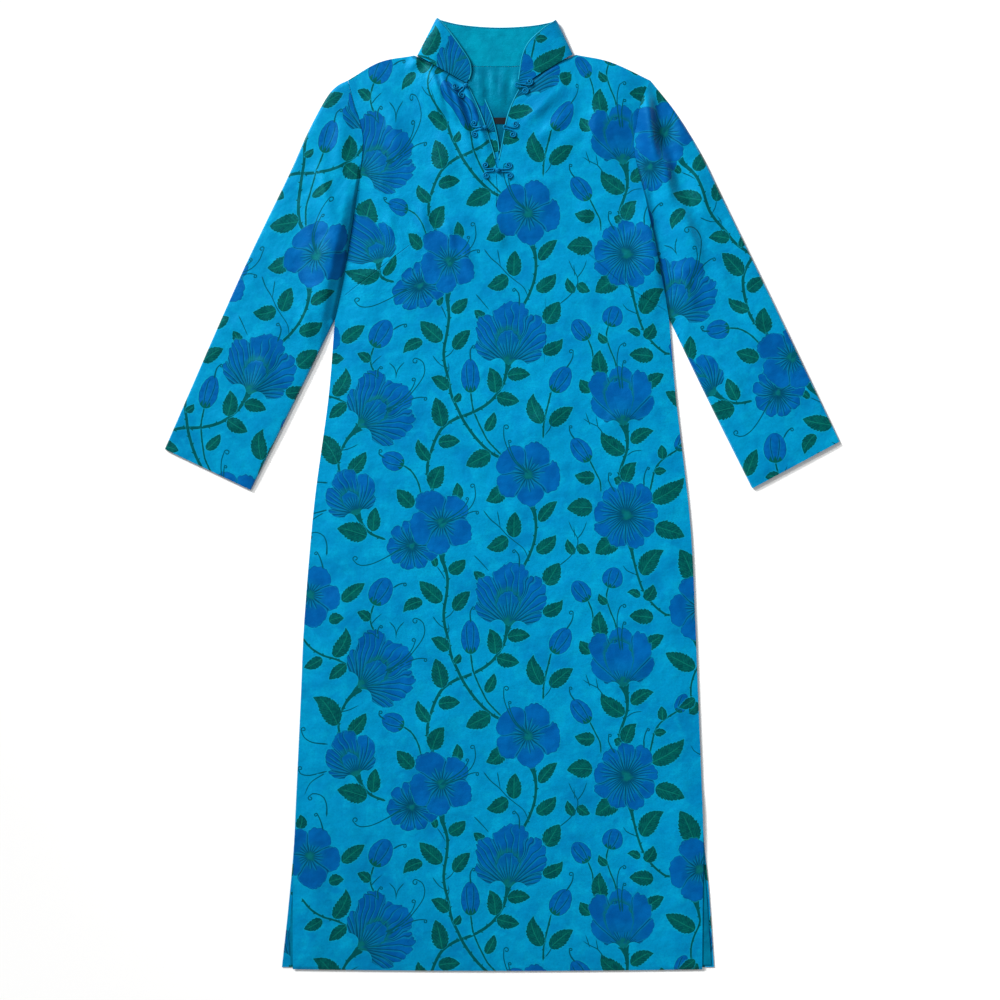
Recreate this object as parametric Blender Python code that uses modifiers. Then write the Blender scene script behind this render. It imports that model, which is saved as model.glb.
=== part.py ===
"""A cheongsam dress laid flat on its back, as closed solids in metres.

The collar points along +Y and the front faces +Z. Left and right are the wearer's, so the left is at +X.
Lengths below are in millimetres. A height is the distance above the front hem, and x is measured from the
middle between the two cuffs. Every piece of cloth is a wall whose points come from the tables of its edges.
"""

import math
from collections import namedtuple

import bmesh
import bpy
from mathutils import Vector

MM = 0.001
COLLECTION = "cheongsam_dress"

# ---------------------------------------------------------------- cloth, and how the layers are stacked
WALL = 1.2  # printed satin with its lining
THIN_WALL = 1.0  # a single layer of lining or print
LABEL_WALL = 0.6
COLLAR_WALL = 1.8  # two layers of cloth over a stiffener
SEAM_GAP = 0.3
SET_IN_GAP = 0.45  # between a sleeve and the body, measured along x
SET_IN_CORNER = 1.2  # added to that gap where the sleeve's folded edges meet the body
LINING_Z = WALL + SEAM_GAP
LABEL_Z = LINING_Z + THIN_WALL + SEAM_GAP
UNDERLAP_Z = LABEL_Z + LABEL_WALL + SEAM_GAP
NECK_FRONT_Z = UNDERLAP_Z + THIN_WALL + SEAM_GAP
SLIT_FRONT_Z = LINING_Z + THIN_WALL + SEAM_GAP

# ---------------------------------------------------------------- the body's outline
CENTRE_X = -7.0  # centre front and centre back
UNDERARM = 846.0
SHOULDER = 1157.0
SLIT_END = 1041.0  # lowest point of the neck opening
BACK_HEM = 4.8
HEM_CORNER = 2.2  # how far the front hem rises at its corners

SideRow = namedtuple("SideRow", "height front_x back_x")
RIGHT_SIDE = (
    SideRow(0.0, -272.1, -286.4),
    SideRow(85.0, -272.1, -277.3),
    SideRow(180.0, -269.5, -269.5),
    SideRow(354.0, -261.7, -261.7),
    SideRow(456.0, -257.0, -257.0),
    SideRow(605.0, -244.3, -244.3),
    SideRow(742.0, -226.1, -226.1),
    SideRow(UNDERARM, -217.5, -217.5),
)
LEFT_SIDE = (
    SideRow(0.0, 259.6, 275.2),
    SideRow(97.0, 260.3, 268.7),
    SideRow(185.0, 260.9, 260.9),
    SideRow(354.0, 254.5, 254.5),
    SideRow(456.0, 250.5, 250.5),
    SideRow(583.0, 244.0, 244.0),
    SideRow(742.0, 225.8, 225.8),
    SideRow(UNDERARM, 216.7, 216.7),
)

EdgePoint = namedtuple("EdgePoint", "x height")
RIGHT_ARMHOLE = (
    EdgePoint(-217.5, UNDERARM),
    EdgePoint(-204.5, 911.0),
    EdgePoint(-190.2, 1002.0),
    EdgePoint(-181.1, 1072.0),
    EdgePoint(-185.5, 1104.0),
    EdgePoint(-192.8, 1127.0),
    EdgePoint(-200.5, SHOULDER),
)
LEFT_ARMHOLE = (
    EdgePoint(216.7, UNDERARM),
    EdgePoint(205.0, 914.0),
    EdgePoint(186.0, 1002.0),
    EdgePoint(171.2, 1067.0),
    EdgePoint(174.6, 1103.0),
    EdgePoint(180.5, 1130.0),
    EdgePoint(192.0, SHOULDER),
)
RIGHT_SHOULDER = (EdgePoint(-200.5, SHOULDER), EdgePoint(-159.0, 1180.6), EdgePoint(-114.5, 1189.2))
LEFT_SHOULDER = (EdgePoint(192.0, SHOULDER), EdgePoint(140.0, 1180.8), EdgePoint(95.5, 1190.2))

# The two edges of the neck opening, and of the underlap below it.
RIGHT_OPENING = (
    EdgePoint(CENTRE_X, SLIT_END),
    EdgePoint(-11.8, 1060.0),
    EdgePoint(-18.6, 1082.0),
    EdgePoint(-26.5, 1106.0),
    EdgePoint(-38.0, 1133.0),
    EdgePoint(-47.2, 1152.1),
)
LEFT_OPENING = (
    EdgePoint(CENTRE_X, SLIT_END),
    EdgePoint(-2.4, 1058.0),
    EdgePoint(2.4, 1082.0),
    EdgePoint(7.4, 1108.0),
    EdgePoint(15.0, 1129.0),
    EdgePoint(24.3, 1147.0),
)
UNDERLAP_EDGE = (
    EdgePoint(-2.8, 1034.0),
    EdgePoint(-4.6, 1058.0),
    EdgePoint(-7.5, 1082.0),
    EdgePoint(-14.0, 1108.0),
    EdgePoint(-25.5, 1136.0),
)
UNDERLAP_WIDTH = 26.0
UNDERLAP_SLANT = 4.0  # the strip's inner top corner lies this much higher
UNDERLAP_ROWS = 10
UNDERLAP_PIPED_ROW = 3  # piping starts at this row, above where the opening closes up
NECK_LINING_RIGHT = EdgePoint(-72.0, 1178.0)
NECK_LINING_LEFT = EdgePoint(56.0, 1178.6)
NECK_LINING_FOOT = 1026.0
NECK_LINING_COLUMNS = 8
NECK_LINING_ROWS = 4
LABEL_RIGHT = -24.0
LABEL_LEFT = 8.0
LABEL_TOP = 1109.0
LABEL_HEIGHT = 11.0
SLIT_LINING_TOP = 205.0
SLIT_LINING_WIDTH = 22.0
SLIT_LINING_INSET = 3.2  # printed edge left outside the lining
SLIT_LINING_ROWS = 6

# ---------------------------------------------------------------- the sleeves
RIGHT_SLEEVE_OUTER = (
    EdgePoint(-200.5, SHOULDER),
    EdgePoint(-214.6, 1149.6),
    EdgePoint(-229.0, 1133.0),
    EdgePoint(-252.6, 1089.0),
    EdgePoint(-277.3, 1034.0),
    EdgePoint(-342.3, 898.0),
    EdgePoint(-438.5, 678.0),
)
RIGHT_SLEEVE_INNER = (EdgePoint(-217.5, UNDERARM), EdgePoint(-271.5, 736.0), EdgePoint(-326.7, 625.0))
LEFT_SLEEVE_OUTER = (
    EdgePoint(192.0, SHOULDER),
    EdgePoint(225.8, 1114.0),
    EdgePoint(259.6, 1059.0),
    EdgePoint(283.0, 1011.0),
    EdgePoint(337.6, 898.0),
    EdgePoint(438.5, 688.0),
)
LEFT_SLEEVE_INNER = (EdgePoint(216.7, UNDERARM), EdgePoint(271.0, 734.0), EdgePoint(324.6, 627.0))

CrestRow = namedtuple("CrestRow", "along crest")
SLEEVE_CREST = (  # outer height of the flattened tube, from the armhole at 0 to the cuff at 1
    CrestRow(0.0, 3.6),
    CrestRow(0.06, 4.2),
    CrestRow(0.2, 6.2),
    CrestRow(0.6, 6.2),
    CrestRow(0.95, 5.0),
    CrestRow(1.0, 4.4),
)
SLEEVE_EDGE_Z = 1.7  # height of the fold along each edge of the flattened tube
SLEEVE_ROUND = 8.0  # a high power keeps the section flat between two tight folds
ARMHOLE_SHARE = 0.7  # share of the sleeve over which the armhole's curve fades out
CORNER_SHARE = 0.3  # share of the sleeve over which the wider gap at its corners fades out
CAP_SHARE = 0.08  # share of the sleeve that stays free of folds at the armhole

# ---------------------------------------------------------------- the collar, a row for each section
CollarRow = namedtuple("CollarRow", "seam_x seam_height seam_z edge_x edge_height edge_z")
COLLAR_LOW_Z = COLLAR_WALL / 2
COLLAR_ROWS = (
    CollarRow(-46.2, 1153.3, 6.2, -44.4, 1158.0, 6.4),
    CollarRow(-48.8, 1154.2, 6.2, -41.8, 1167.5, 6.7),
    CollarRow(-55.4, 1157.8, 6.3, -43.6, 1180.2, 7.3),
    CollarRow(-68.6, 1165.4, 6.3, -51.8, 1194.0, 8.2),
    CollarRow(-87.8, 1176.2, 6.2, -66.6, 1214.6, 9.4),
    CollarRow(-104.0, 1185.6, 6.0, -80.2, 1231.2, 10.2),
    CollarRow(-109.8, 1189.2, 3.5, -85.2, 1236.0, 5.8),
    CollarRow(-104.0, 1187.4, COLLAR_LOW_Z, -80.2, 1234.0, COLLAR_LOW_Z),
    CollarRow(-74.5, 1179.6, COLLAR_LOW_Z, -60.2, 1228.9, COLLAR_LOW_Z),
    CollarRow(-42.0, 1176.2, COLLAR_LOW_Z, -34.2, 1225.6, COLLAR_LOW_Z),
    CollarRow(-7.0, 1175.2, COLLAR_LOW_Z, -7.0, 1224.2, COLLAR_LOW_Z),
    CollarRow(24.3, 1176.2, COLLAR_LOW_Z, 19.1, 1224.9, COLLAR_LOW_Z),
    CollarRow(58.1, 1180.0, COLLAR_LOW_Z, 45.1, 1227.4, COLLAR_LOW_Z),
    CollarRow(85.0, 1188.2, COLLAR_LOW_Z, 65.0, 1231.4, COLLAR_LOW_Z),
    CollarRow(90.8, 1190.2, 3.5, 70.0, 1233.4, 5.8),
    CollarRow(85.0, 1186.8, 6.0, 65.0, 1229.4, 10.2),
    CollarRow(68.7, 1177.0, 6.2, 52.9, 1221.5, 9.4),
    CollarRow(49.2, 1165.4, 6.3, 35.2, 1205.0, 8.2),
    CollarRow(35.2, 1155.6, 6.3, 27.2, 1187.6, 7.3),
    CollarRow(27.6, 1150.4, 6.2, 24.0, 1169.6, 6.7),
    CollarRow(24.6, 1148.4, 6.2, 22.2, 1157.6, 6.4),
)
COLLAR_STEPS = 2  # cross-sections between two rows
COLLAR_BANDS = 5  # faces from the seam to the edge
BACK_NECK = (
    EdgePoint(-114.5, 1189.2),
    EdgePoint(-104.0, 1184.8),
    EdgePoint(-74.5, 1178.9),
    EdgePoint(-42.0, 1175.5),
    EdgePoint(CENTRE_X, 1174.6),
    EdgePoint(24.3, 1175.5),
    EdgePoint(58.1, 1179.3),
    EdgePoint(85.0, 1185.6),
    EdgePoint(95.5, 1190.2),
)
BACK_MIDDLE = 4  # the row at the middle of the back neck
RIGHT_FRONT_NECK = (EdgePoint(-114.5, 1189.2), EdgePoint(-87.5, 1175.2), EdgePoint(-47.2, 1152.1))
LEFT_FRONT_NECK = (EdgePoint(95.5, 1190.2), EdgePoint(68.5, 1176.0), EdgePoint(24.3, 1147.0))

# ---------------------------------------------------------------- how the cloth stands off the surface
LOFT = 1.6  # air under the middle of the front
EDGE_RUN = 34.0  # distance from an edge over which the front reaches its loft
NECK_REACH = 62.0  # the stack at the neck stays full this far from the opening
NECK_RUN = 62.0
SLIT_RUN = 40.0
FOLD_RUN = 12.0  # distance from a side seam over which a fold reaches its full height

Fold = namedtuple("Fold", "name start_x start_height end_x end_height width rise")
FRONT_FOLDS = (
    Fold("neck_roll_upper", -92.0, 1166.0, -52.0, 1124.0, 8.0, 3.4),
    Fold("neck_roll_lower", -72.0, 1136.0, -38.0, 1092.0, 9.0, 2.2),
    Fold("neck_slope", 62.0, 1160.0, 30.0, 1108.0, 14.0, 1.6),
    Fold("right_shoulder", -168.0, 1150.0, -120.0, 1060.0, 20.0, 1.4),
    Fold("left_shoulder", 150.0, 1150.0, 112.0, 1050.0, 22.0, 1.4),
    Fold("right_bust", -196.0, 880.0, -120.0, 944.0, 16.0, 1.2),
    Fold("left_bust", 200.0, 878.0, 108.0, 940.0, 16.0, 1.2),
    Fold("waist", 58.0, 800.0, 40.0, 640.0, 24.0, 1.0),
    Fold("hip", -150.0, 560.0, -40.0, 470.0, 30.0, 1.0),
)
SLEEVE_FOLDS = (
    Fold("right_elbow", -300.0, 900.0, -262.0, 820.0, 16.0, 1.4),
    Fold("right_cap", -232.0, 1080.0, -240.0, 960.0, 13.0, 2.0),
    Fold("left_cap", 206.0, 1110.0, 236.0, 960.0, 13.0, 2.4),
    Fold("left_fall", 236.0, 960.0, 262.0, 850.0, 14.0, 1.6),
)

# ---------------------------------------------------------------- trim
PIPING_RADIUS = 0.8
PIPING_STOP = 14.0  # piping ends this far above the foot of the neck opening
CORD_RADIUS = 0.95
COIL_INNER = 1.05  # radius of the cord's middle line where a coil starts
COIL_OUTER = 4.3
COIL_TURNS = 1.5
COIL_POINTS = 18
LOOP_POINTS = 8
LEG_SPREAD = 1.75  # each leg of a frog's loop lies this far from its middle line
LEG_START = 2.4  # the legs leave the coils this far ahead of them
KNOT_RADIUS = 2.9
KNOT_FLATNESS = 0.8

FrogRow = namedtuple(
    "FrogRow", "name coil_a_x coil_a_height coil_b_x coil_b_height tip_x tip_height eye lift"
)
FROGS = (
    FrogRow("frog_top_right", -61.0, 1147.5, -52.5, 1137.2, -50.2, 1147.6, 1.75, 0.3),
    FrogRow("frog_top_left", 35.6, 1154.4, 29.6, 1142.6, 16.9, 1150.6, 2.5, 1.5),
    FrogRow("frog_middle_right", -36.6, 1099.8, -35.6, 1086.4, -26.4, 1094.2, 1.75, 0.3),
    FrogRow("frog_middle_left", 17.0, 1099.2, 13.6, 1086.2, 1.6, 1096.4, 2.5, 0.3),
    FrogRow("frog_bottom_right", -21.6, 1046.0, -20.6, 1032.6, -10.7, 1040.4, 1.75, 0.3),
    FrogRow("frog_bottom_left", 8.4, 1046.2, 9.2, 1032.8, -8.1, 1039.4, 2.5, 0.3),
)
KnotRow = namedtuple("KnotRow", "name x height lift")
KNOTS = (
    KnotRow("knot_top", -47.2, 1149.4, 0.6),
    KnotRow("knot_middle", -22.2, 1094.9, 0.3),
    KnotRow("knot_bottom", -5.6, 1039.5, 1.9),
)

# ---------------------------------------------------------------- how finely the solids are divided
BODY_ROWS = 19  # from the hem to the underarm
ARM_ROWS = 16  # from the underarm to the shoulder, crowded towards both ends
FRONT_COLUMNS = 12
BACK_COLUMNS = 6
SLEEVE_ROWS = 12
SLEEVE_CROWDING = 1.5  # more than 1 crowds a sleeve's rows towards the armhole
TUBE_RESOLUTION = 1  # bevel resolution of the piping and the cord
CURVE_SAMPLES = 12  # straight runs between two rows of a table, where a curve is measured
HALVINGS = 40  # steps of the search for a height on a curve
MERGE = 0.01  # corners closer than this are one

# ---------------------------------------------------------------- finishes
Finish = namedtuple("Finish", "name colour roughness")
PRINTED_SATIN = Finish("printed_satin", (0.0, 0.30, 0.62, 1.0), 0.5)
LINING_SATIN = Finish("lining_satin", (0.0, 0.32, 0.45, 1.0), 0.4)
PIPING_SATIN = Finish("piping_satin", (0.03, 0.40, 0.55, 1.0), 0.4)
CORD_SATIN = Finish("cord_satin", (0.01, 0.28, 0.50, 1.0), 0.45)
LABEL_RIBBON = Finish("label_ribbon", (0.01, 0.01, 0.012, 1.0), 0.6)


# ================================================================ curves through tables
def catmull(points, fraction):
    """Point on a smooth curve through points, where fraction 0 to 1 runs evenly from row to row."""
    last = len(points) - 1
    place = min(max(fraction, 0.0), 1.0) * last
    row = min(int(place), last - 1)
    t = place - row
    before = points[row - 1] if row > 0 else points[0] * 2 - points[1]
    after = points[row + 2] if row + 2 <= last else points[last] * 2 - points[last - 1]
    here, there = points[row], points[row + 1]
    return 0.5 * (
        2 * here
        + (there - before) * t
        + (2 * before - 5 * here + 4 * there - after) * t * t
        + (3 * here - before - 3 * there + after) * t**3
    )


def vectors(rows):
    """The x and height of each row, as plan vectors."""
    return [Vector((row.x, row.height)) for row in rows]


def evenly(points, fraction):
    """Point on the curve through points at this share of its length."""
    samples = CURVE_SAMPLES * (len(points) - 1)
    line = [catmull(points, k / samples) for k in range(samples + 1)]
    reach = [0.0]
    for here, there in zip(line, line[1:]):
        reach.append(reach[-1] + (there - here).length)
    wanted = min(max(fraction, 0.0), 1.0) * reach[-1]
    for k in range(samples):
        if reach[k + 1] >= wanted:
            share = (wanted - reach[k]) / (reach[k + 1] - reach[k])
            return line[k].lerp(line[k + 1], share)
    return line[-1]


def at_height(points, height):
    """Point where a curve that climbs from row to row reaches a height."""
    low, high = 0.0, 1.0
    for _ in range(HALVINGS):
        middle = (low + high) / 2
        if catmull(points, middle).y < height:
            low = middle
        else:
            high = middle
    found = catmull(points, (low + high) / 2)
    return Vector((found.x, height))


def ramp(distance, run):
    """0 at no distance, 1 from run on, with a soft start and end."""
    t = min(max(distance / run, 0.0), 1.0)
    return t * t * (3 - 2 * t)


# ================================================================ the body's edges
def side_points(rows, column):
    """Plan points of a side seam and slit edge, for the front or the back."""
    return [Vector((getattr(row, column), row.height)) for row in rows]


def body_side(side, column, height):
    """Plan point of the body's edge at a height, on its side seam or its armhole."""
    seam, armhole = (RIGHT_SIDE, RIGHT_ARMHOLE) if side < 0 else (LEFT_SIDE, LEFT_ARMHOLE)
    if height <= UNDERARM:
        return at_height(side_points(seam, column), height)
    return at_height(vectors(armhole), height)


def inner_edge(side, front, level):
    """Plan point of a panel's middle line at a row, or of an edge of the neck opening above its foot."""
    if not front:
        return Vector((CENTRE_X, level * BACK_NECK[BACK_MIDDLE].height / SHOULDER))
    if level <= SLIT_END:
        return Vector((CENTRE_X, level))
    edge = vectors(RIGHT_OPENING if side < 0 else LEFT_OPENING)
    drop = (SHOULDER - edge[-1].y) * ramp(level - SLIT_END, SHOULDER - SLIT_END)
    return at_height(edge, level - drop)


def body_levels():
    """Heights of the rows that both panels share, with one at the foot of the neck opening."""
    lower = [UNDERARM * k / BODY_ROWS for k in range(BODY_ROWS)]
    arm = [
        UNDERARM + (SHOULDER - UNDERARM) * (1 - math.cos(math.pi * k / ARM_ROWS)) / 2
        for k in range(ARM_ROWS + 1)
    ]
    nearest = min(range(len(arm)), key=lambda k: abs(arm[k] - SLIT_END))
    arm[nearest] = SLIT_END
    return lower + arm


def top_edge(side, front, fraction):
    """Plan point from the shoulder tip at 0, past the neck point halfway, to the middle at 1."""
    shoulder = RIGHT_SHOULDER if side < 0 else LEFT_SHOULDER
    if fraction <= 0.5:
        return evenly(vectors(shoulder), fraction * 2)
    if front:
        return evenly(vectors(RIGHT_FRONT_NECK if side < 0 else LEFT_FRONT_NECK), fraction * 2 - 1)
    half = [row for row in BACK_NECK if (row.x - CENTRE_X) * side >= 0]
    if side > 0:
        half.reverse()
    return evenly(vectors(half), fraction * 2 - 1)


def hem_height(front, x):
    """Height of the hem, whose front corners rise a little."""
    if not front:
        return BACK_HEM
    return HEM_CORNER * min(abs(x / RIGHT_SIDE[0].front_x), 1.0) ** 2


def panel_point(side, front, across, level):
    """Plan point of half a panel: across runs from the side at 0 to the middle at 1."""
    column = "front_x" if front else "back_x"
    share = level / SHOULDER
    outer = body_side(side, column, level)
    point = outer.lerp(inner_edge(side, front, level), across)
    lift = ramp(level - UNDERARM, SHOULDER - UNDERARM)
    top_chord = top_edge(side, front, 0.0).lerp(top_edge(side, front, 1.0), across)
    point += (top_edge(side, front, across) - top_chord) * lift
    point.y += hem_height(front, point.x) * (1 - share)
    return point


# ================================================================ heights of the cloth
def fold_rise(folds, point):
    """Sum of the folds at a plan point: each is a soft ridge along a line that fades at its ends."""
    total = 0.0
    for fold in folds:
        start = Vector((fold.start_x, fold.start_height))
        run = Vector((fold.end_x, fold.end_height)) - start
        share = (point - start).dot(run) / run.length_squared
        off = abs((point - start).cross(run)) / run.length
        along = max(0.0, 1 - (2 * share - 1) ** 2) if 0 <= share <= 1 else 0.0
        total += fold.rise * math.sqrt(along) * math.exp(-((off / fold.width) ** 2)) * along
    return total


def neck_distance(point):
    """Distance from a plan point to the middle line of the neck opening."""
    foot = Vector((CENTRE_X, SLIT_END))
    head = Vector((CENTRE_X, BACK_NECK[BACK_MIDDLE].height))
    share = min(max((point - foot).dot(head - foot) / (head - foot).length_squared, 0.0), 1.0)
    return (point - foot.lerp(head, share)).length


def front_underside(point):
    """Height of the front panel's lower face above the surface."""
    level = min(max(point.y, 0.0), SHOULDER)
    inset = min(side * (body_side(side, "front_x", level).x - point.x) for side in (-1, 1))
    loose = ramp(inset, EDGE_RUN) * ramp(point.y, EDGE_RUN) * ramp(SHOULDER + EDGE_RUN - point.y, EDGE_RUN)
    neck = 1 - ramp(neck_distance(point) - NECK_REACH, NECK_RUN)
    slit = (1 - ramp(inset - SLIT_LINING_WIDTH, SLIT_RUN)) * (1 - ramp(point.y - SLIT_LINING_TOP, SLIT_RUN))
    stack = max((NECK_FRONT_Z - LINING_Z) * neck, (SLIT_FRONT_Z - LINING_Z) * slit)
    folds = fold_rise(FRONT_FOLDS, point) * ramp(inset, FOLD_RUN)
    return LINING_Z + stack + LOFT * loose * (1 - neck) + folds


def front_top(point):
    """Height of the front panel's upper face above the surface."""
    return front_underside(point) + WALL


def table_value(rows, along):
    """Value of a two-column table at a place between its rows."""
    for low, high in zip(rows, rows[1:]):
        if along <= high[0]:
            share = (along - low[0]) / (high[0] - low[0])
            return low[1] + (high[1] - low[1]) * ramp(share, 1.0)
    return rows[-1][1]


# ================================================================ making objects
def material(finish):
    """The Principled material of a finish, made once."""
    found = bpy.data.materials.get(finish.name)
    if found:
        return found
    made = bpy.data.materials.new(finish.name)
    made.use_nodes = True
    shader = made.node_tree.nodes["Principled BSDF"]
    shader.inputs["Base Color"].default_value = finish.colour
    shader.inputs["Roughness"].default_value = finish.roughness
    shader.inputs["Metallic"].default_value = 0.0
    made.diffuse_color = finish.colour
    return made


def finished(name, mesh_or_curve, finish):
    """A new object in the dress's collection, with its material."""
    made = bpy.data.objects.new(name, mesh_or_curve)
    bpy.data.collections[COLLECTION].objects.link(made)
    mesh_or_curve.materials.append(material(finish))
    return made


def grid(columns, rows, place):
    """An open sheet of columns by rows faces, each corner where place(column, row) says in millimetres."""
    sheet = bmesh.new()
    corners = [
        [sheet.verts.new(Vector(place(column, row)) * MM) for column in range(columns + 1)]
        for row in range(rows + 1)
    ]
    for row in range(rows):
        for column in range(columns):
            sheet.faces.new(
                (
                    corners[row][column],
                    corners[row][column + 1],
                    corners[row + 1][column + 1],
                    corners[row + 1][column],
                )
            )
    return sheet


def thickened(name, sheet, wall, finish):
    """A closed solid from an open sheet: its lower face, raised by the wall."""
    bmesh.ops.remove_doubles(sheet, verts=sheet.verts[:], dist=MERGE * MM)
    lifted = bmesh.ops.extrude_face_region(sheet, geom=sheet.faces[:])
    upper = [item for item in lifted["geom"] if isinstance(item, bmesh.types.BMVert)]
    bmesh.ops.translate(sheet, verts=upper, vec=(0.0, 0.0, wall * MM))
    bmesh.ops.recalc_face_normals(sheet, faces=sheet.faces[:])
    mesh = bpy.data.meshes.new(name)
    sheet.to_mesh(mesh)
    sheet.free()
    return finished(name, mesh, finish)


def solidified(name, sheet, wall, offset, finish):
    """An object that keeps its open sheet and gets its wall from a Solidify modifier."""
    mesh = bpy.data.meshes.new(name)
    sheet.to_mesh(mesh)
    sheet.free()
    made = finished(name, mesh, finish)
    shell = made.modifiers.new("wall", "SOLIDIFY")
    shell.thickness = wall * MM
    shell.offset = offset
    shell.use_rim = True
    return made


def tube(name, route, radius, finish):
    """A round cord through the points of a route, with closed ends."""
    curve = bpy.data.curves.new(name, "CURVE")
    curve.dimensions = "3D"
    curve.bevel_depth = radius * MM
    curve.bevel_resolution = TUBE_RESOLUTION
    curve.use_fill_caps = True
    spline = curve.splines.new("POLY")
    spline.points.add(len(route) - 1)
    for control, point in zip(spline.points, route):
        control.co = (*(Vector(point) * MM), 1.0)
    return finished(name, curve, finish)


# ================================================================ panels
def half_sheet(side, front, columns):
    """Half of the front or the back as an open sheet at the height of its lower face."""
    levels = body_levels()

    def place(column, row):
        point = panel_point(side, front, column / columns, levels[row])
        height = front_underside(point) if front else 0.0
        return point.x, point.y, height

    return grid(columns, len(levels) - 1, place)


def body_panel(name, front, columns):
    """A whole panel: two halves merged along the middle, open above the foot of the front's slit."""
    whole = bmesh.new()
    for side in (-1, 1):
        half = half_sheet(side, front, columns)
        mesh = bpy.data.meshes.new("half")
        half.to_mesh(mesh)
        half.free()
        whole.from_mesh(mesh)
        bpy.data.meshes.remove(mesh)
    return thickened(name, whole, WALL, PRINTED_SATIN)


# ================================================================ sleeves
def sleeve_plan(side, along, level):
    """Plan point of a sleeve: along runs from armhole to cuff, level is the row on the armhole."""
    outer = vectors(RIGHT_SLEEVE_OUTER if side < 0 else LEFT_SLEEVE_OUTER)
    inner = vectors(RIGHT_SLEEVE_INNER if side < 0 else LEFT_SLEEVE_INNER)
    share = (SHOULDER - level) / (SHOULDER - UNDERARM)
    armhole = body_side(side, "front_x", level)
    chord_start = outer[0].lerp(inner[0], share)
    edges = evenly(outer, along).lerp(evenly(inner, along), share)
    point = edges + (armhole - chord_start) * (1 - ramp(along, ARMHOLE_SHARE))
    corner = abs(1 - 2 * share) ** SLEEVE_ROUND
    point.x += side * (SET_IN_GAP + SET_IN_CORNER * corner * (1 - ramp(along, CORNER_SHARE)))
    return point


def sleeve_heights(along, level, point):
    """Heights of a sleeve's lower and upper faces, which meet in a fold along each edge."""
    lateral = 1 - 2 * (SHOULDER - level) / (SHOULDER - UNDERARM)
    flat = max(0.0, 1 - abs(lateral) ** SLEEVE_ROUND) ** (1 / SLEEVE_ROUND)
    crest = table_value(SLEEVE_CREST, along) + fold_rise(SLEEVE_FOLDS, point) * ramp(along, CAP_SHARE)
    return SLEEVE_EDGE_Z * (1 - flat), SLEEVE_EDGE_Z + (crest - SLEEVE_EDGE_Z) * flat


def sleeve(name, side):
    """A flattened tube, open at the armhole and at the cuff."""
    levels = [level for level in body_levels() if level >= UNDERARM]
    ring = [(level, True) for level in reversed(levels)] + [(level, False) for level in levels[1:]]

    def place(column, row):
        level, upper = ring[column]
        along = (row / SLEEVE_ROWS) ** SLEEVE_CROWDING
        point = sleeve_plan(side, along, level)
        low, high = sleeve_heights(along, level, point)
        return point.x, point.y, high if upper else low

    sheet = grid(len(ring) - 1, SLEEVE_ROWS, place)
    bmesh.ops.remove_doubles(sheet, verts=sheet.verts[:], dist=MERGE * MM)
    bmesh.ops.recalc_face_normals(sheet, faces=sheet.faces[:])
    top_face = max(sheet.faces, key=lambda face: face.calc_center_median().z)
    top_face.normal_update()
    if top_face.normal.z < 0:
        bmesh.ops.reverse_faces(sheet, faces=sheet.faces[:])
    return solidified(name, sheet, WALL, -1.0, PRINTED_SATIN)


# ================================================================ collar
def collar_section(fraction):
    """Seam and edge points of the collar's middle surface, from the right front end at 0 to the left at 1."""
    seam = [Vector((row.seam_x, row.seam_height, row.seam_z)) for row in COLLAR_ROWS]
    edge = [Vector((row.edge_x, row.edge_height, row.edge_z)) for row in COLLAR_ROWS]
    section = catmull(seam, fraction), catmull(edge, fraction)
    for point in section:
        point.z = max(point.z, COLLAR_LOW_Z)
    return section


def collar():
    """The stand collar: one stiffened band, folded flat at the two sides of the neck."""
    columns = COLLAR_STEPS * (len(COLLAR_ROWS) - 1)

    def place(column, row):
        seam, edge = collar_section(column / columns)
        return seam.lerp(edge, row / COLLAR_BANDS)

    return solidified("collar", grid(columns, COLLAR_BANDS, place), COLLAR_WALL, 0.0, PRINTED_SATIN)


# ================================================================ small pieces of cloth
def strip(name, right_edge, left_edge, rows, columns, height, wall, finish):
    """A flat strip between two edges, each given by a function of the share of its length."""

    def place(column, row):
        point = right_edge(row / rows).lerp(left_edge(row / rows), column / columns)
        return point.x, point.y, height

    return thickened(name, grid(columns, rows, place), wall, finish)


def neck_lining():
    """The part of the back lining that shows inside the neck."""
    neck = [row for row in BACK_NECK if NECK_LINING_RIGHT.x < row.x < NECK_LINING_LEFT.x]
    top = vectors([NECK_LINING_RIGHT, *neck, NECK_LINING_LEFT])

    def place(column, row):
        head = evenly(top, column / NECK_LINING_COLUMNS)
        rise = (head.y - NECK_LINING_FOOT) * row / NECK_LINING_ROWS
        return head.x, NECK_LINING_FOOT + rise, LINING_Z

    sheet = grid(NECK_LINING_COLUMNS, NECK_LINING_ROWS, place)
    return thickened("neck_lining", sheet, THIN_WALL, LINING_SATIN)


def underlap():
    """The printed strip that lies under the right edge of the opening."""
    edge = vectors(UNDERLAP_EDGE)

    def outer(share):
        return evenly(edge, share)

    def inner(share):
        return evenly(edge, share) + Vector((-UNDERLAP_WIDTH, UNDERLAP_SLANT * share))

    return strip("underlap", inner, outer, UNDERLAP_ROWS, 2, UNDERLAP_Z, THIN_WALL, PRINTED_SATIN)


def slit_lining(name, side):
    """The strip of lining that shows where the back lies wider than the front."""

    def outer(share):
        height = BACK_HEM + SLIT_LINING_INSET + (SLIT_LINING_TOP - BACK_HEM - SLIT_LINING_INSET) * share
        point = body_side(side, "back_x", height)
        return Vector((point.x - side * SLIT_LINING_INSET, point.y))

    def inner(share):
        return outer(share) - Vector((side * SLIT_LINING_WIDTH, 0.0))

    edges = (outer, inner) if side < 0 else (inner, outer)
    return strip(name, *edges, SLIT_LINING_ROWS, 1, LINING_Z, THIN_WALL, LINING_SATIN)


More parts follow.
